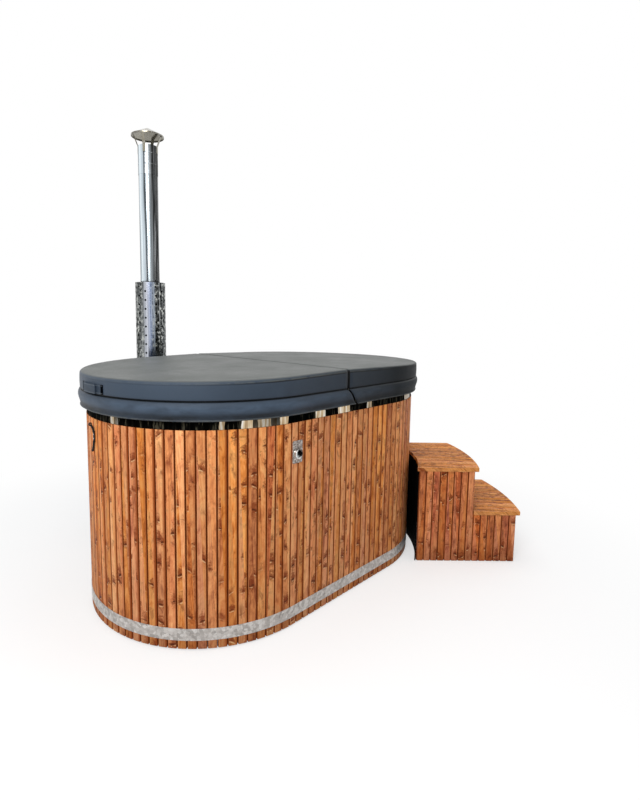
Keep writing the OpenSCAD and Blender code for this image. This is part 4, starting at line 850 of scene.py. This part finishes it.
def cover_skirt(side):
    """The hanging skirt: a bellied strip with a rolled hem, cut aslant at the slit."""
    cut = side * FOLD_X + FOLD_GAP / 2
    slant = side * SLIT_SLANT
    # the inner side comes back up, a little shorter than the outer one
    inner = [(out - SKIRT_THICK, min(drop + 0.006, 0.992)) for out, drop in reversed(SKIRT_BELLY)]
    bm = bmesh.new()
    loops = []
    for out, drop in SKIRT_BELLY + inner:
        loop = []
        level = SKIRT_TOP - SKIRT_FALL * drop
        for x, y in oval_path(cut + slant * drop, COVER_R - SKIRT_INSET, n_side=26, n_arc=110):
            wave = noise.noise(Vector((x * 5 * side, y * 5 * side, drop * 1.5))) * 0.0030
            wave += noise.noise(Vector((x * 16 * side + 9, y * 16 * side, drop * 3))) * 0.0012
            wave *= min(drop * 1.4, 1.0)
            d = outward(x, y)
            r = out + wave
            loop.append(bm.verts.new((x + d.x * r, y + d.y * r, level)))
        loops.append(loop)
    bridge(bm, loops, ring=False, tube=True)
    bm.faces.new([loop[0] for loop in loops])
    bm.faces.new([loop[-1] for loop in reversed(loops)])
    face_side(bm, side)
    return object_from(bm, "cover_hem_right" if side > 0 else "cover_hem_left", VINYL)


for side, tag in ((-1, "left"), (1, "right")):
    pad = cover_panel(side)
    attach(pad, "cover_" + tag)
    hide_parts("cover_panel_" + tag)
    skirt = cover_skirt(side)
    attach(skirt, "cover_" + tag)
    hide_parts("cover_skirt_" + tag)

# ------------------------------------------------------------------ stage, lights, camera
FLOOR_R = 20.0
FLOOR_Z = -0.0005  # a little under the feet
FLOOR_SIDES = 64
FLOOR_TONE = 0.52
WHITE_FROM, WHITE_TO = 1.3, 2.7  # the floor turns to plain white between these distances
PHOTO_W, PHOTO_H = 640, 800
SENSOR = 36.0
CAMERA_AT = Vector((-1.8863, -2.0900, 1.3825))
CAMERA_YAW, CAMERA_PITCH, CAMERA_ROLL = -0.801, 0.109, 0.014  # radians
CAMERA_F = 500.322  # in the photograph's pixels, as the lens's middle is
CAMERA_MIDDLE = (300.886, 371.88)
# name, place, aim, width and power
LAMPS = [
    ("key", (-3.2, -1.9, 3.1), (-0.1, 0, 0.6), 1.9, 104),
    ("top", (0.4, 0.3, 4.2), (0, 0, 0.8), 3.0, 46),
    ("fill", (3.6, -3.0, 2.6), (0.3, 0, 0.6), 2.0, 12)]


def white_seen(tree):
    """1 for the camera's rays and for reflected and transmitted ones, 0 for the light's."""
    path = new_node(tree, "ShaderNodeLightPath").outputs
    rays = new_node(tree, "ShaderNodeMath", p_operation="MAXIMUM", i0=path["Is Glossy Ray"],
                    i1=path["Is Transmission Ray"])
    return new_node(tree, "ShaderNodeMath", p_operation="MAXIMUM", i0=path["Is Camera Ray"],
                    i1=rays.outputs[0]).outputs[0]


def floor_material():
    """Matt near the object, lifted to white for the eye alone, and plain white further out."""
    mat = bpy.data.materials.new("studio_floor")
    mat.use_nodes = True
    tree = mat.node_tree
    tree.nodes.clear()
    seen = white_seen(tree)
    matt = new_node(tree, "ShaderNodeBsdfDiffuse", Color=grey(FLOOR_TONE))
    lift_by = new_node(tree, "ShaderNodeMath", p_operation="MULTIPLY", i0=seen, i1=FLOOR_TONE)
    lift = new_node(tree, "ShaderNodeEmission", Strength=lift_by.outputs[0])
    near = new_node(tree, "ShaderNodeAddShader", i0=matt.outputs[0], i1=lift.outputs[0])
    far = new_node(tree, "ShaderNodeEmission")
    place = new_node(tree, "ShaderNodeTexCoord").outputs["Object"]
    reach = new_node(tree, "ShaderNodeVectorMath", p_operation="LENGTH", i0=place).outputs["Value"]
    spread = new_node(tree, "ShaderNodeMapRange", p_interpolation_type="SMOOTHSTEP", Value=reach,
                      From_Min=WHITE_FROM, From_Max=WHITE_TO)
    only_seen = new_node(tree, "ShaderNodeMath", p_operation="MULTIPLY", i0=spread.outputs[0], i1=seen)
    fade = new_node(tree, "ShaderNodeMixShader", i0=only_seen.outputs[0], i1=near.outputs[0],
                    i2=far.outputs[0])
    new_node(tree, "ShaderNodeOutputMaterial", Surface=fade.outputs[0])
    return mat


def stage():
    """A white floor that keeps the object's shadow and turns to plain white further out."""
    bm = bmesh.new()
    turns = [2 * math.pi * i / FLOOR_SIDES for i in range(FLOOR_SIDES)]
    bm.faces.new([bm.verts.new((FLOOR_R * math.cos(a), FLOOR_R * math.sin(a), FLOOR_Z)) for a in turns])
    mesh = bpy.data.meshes.new("studio_floor")
    bm.to_mesh(mesh)
    bm.free()
    floor = bpy.data.objects.new("studio_floor", mesh)
    bpy.context.scene.collection.objects.link(floor)
    mesh.materials.append(floor_material())


def lamp(name, location, target, width, energy):
    """A square area lamp, aimed at the target."""
    data = bpy.data.lights.new(name, "AREA")
    data.shape = "SQUARE"
    data.size = width
    data.energy = energy
    obj = bpy.data.objects.new(name, data)
    obj.location = location
    obj.rotation_euler = (Vector(target) - Vector(location)).to_track_quat("-Z", "Y").to_euler()
    bpy.context.scene.collection.objects.link(obj)


def world():
    """Soft studio light for the object, and plain white behind it."""
    w = bpy.data.worlds.new("studio")
    bpy.context.scene.world = w
    w.use_nodes = True
    tree = w.node_tree
    tree.nodes.clear()
    lit = new_node(tree, "ShaderNodeBackground", Color=(0.96, 0.98, 1.0, 1), Strength=0.46)
    white = new_node(tree, "ShaderNodeBackground", Color=grey(1.0))
    mix = new_node(tree, "ShaderNodeMixShader", i0=white_seen(tree), i1=lit.outputs[0], i2=white.outputs[0])
    new_node(tree, "ShaderNodeOutputWorld", Surface=mix.outputs[0])


def camera():
    """The photograph's viewpoint, solved from the object's own outlines."""
    yaw, pitch, roll = CAMERA_YAW, CAMERA_PITCH, CAMERA_ROLL
    ahead = Vector((-math.sin(yaw), math.cos(yaw), 0))
    across = Vector((math.cos(yaw), math.sin(yaw), 0))
    up = Vector((0, 0, 1))
    forward = ahead * math.cos(pitch) - up * math.sin(pitch)
    tilted = up * math.cos(pitch) + ahead * math.sin(pitch)
    right = across * math.cos(roll) + tilted * math.sin(roll)
    top = tilted * math.cos(roll) - across * math.sin(roll)
    data = bpy.data.cameras.new("photo")
    data.sensor_width = SENSOR
    data.lens = CAMERA_F / PHOTO_H * SENSOR
    data.shift_x = (PHOTO_W / 2 - CAMERA_MIDDLE[0]) / PHOTO_H
    data.shift_y = (CAMERA_MIDDLE[1] - PHOTO_H / 2) / PHOTO_H
    cam = bpy.data.objects.new("photo", data)
    place = Matrix((right, top, -forward)).transposed().to_4x4()
    place.translation = CAMERA_AT
    cam.matrix_world = place
    bpy.context.scene.collection.objects.link(cam)
    bpy.context.scene.camera = cam


stage()
world()
for settings in LAMPS:
    lamp(*settings)
camera()
bpy.context.scene.view_settings.view_transform = "Standard"
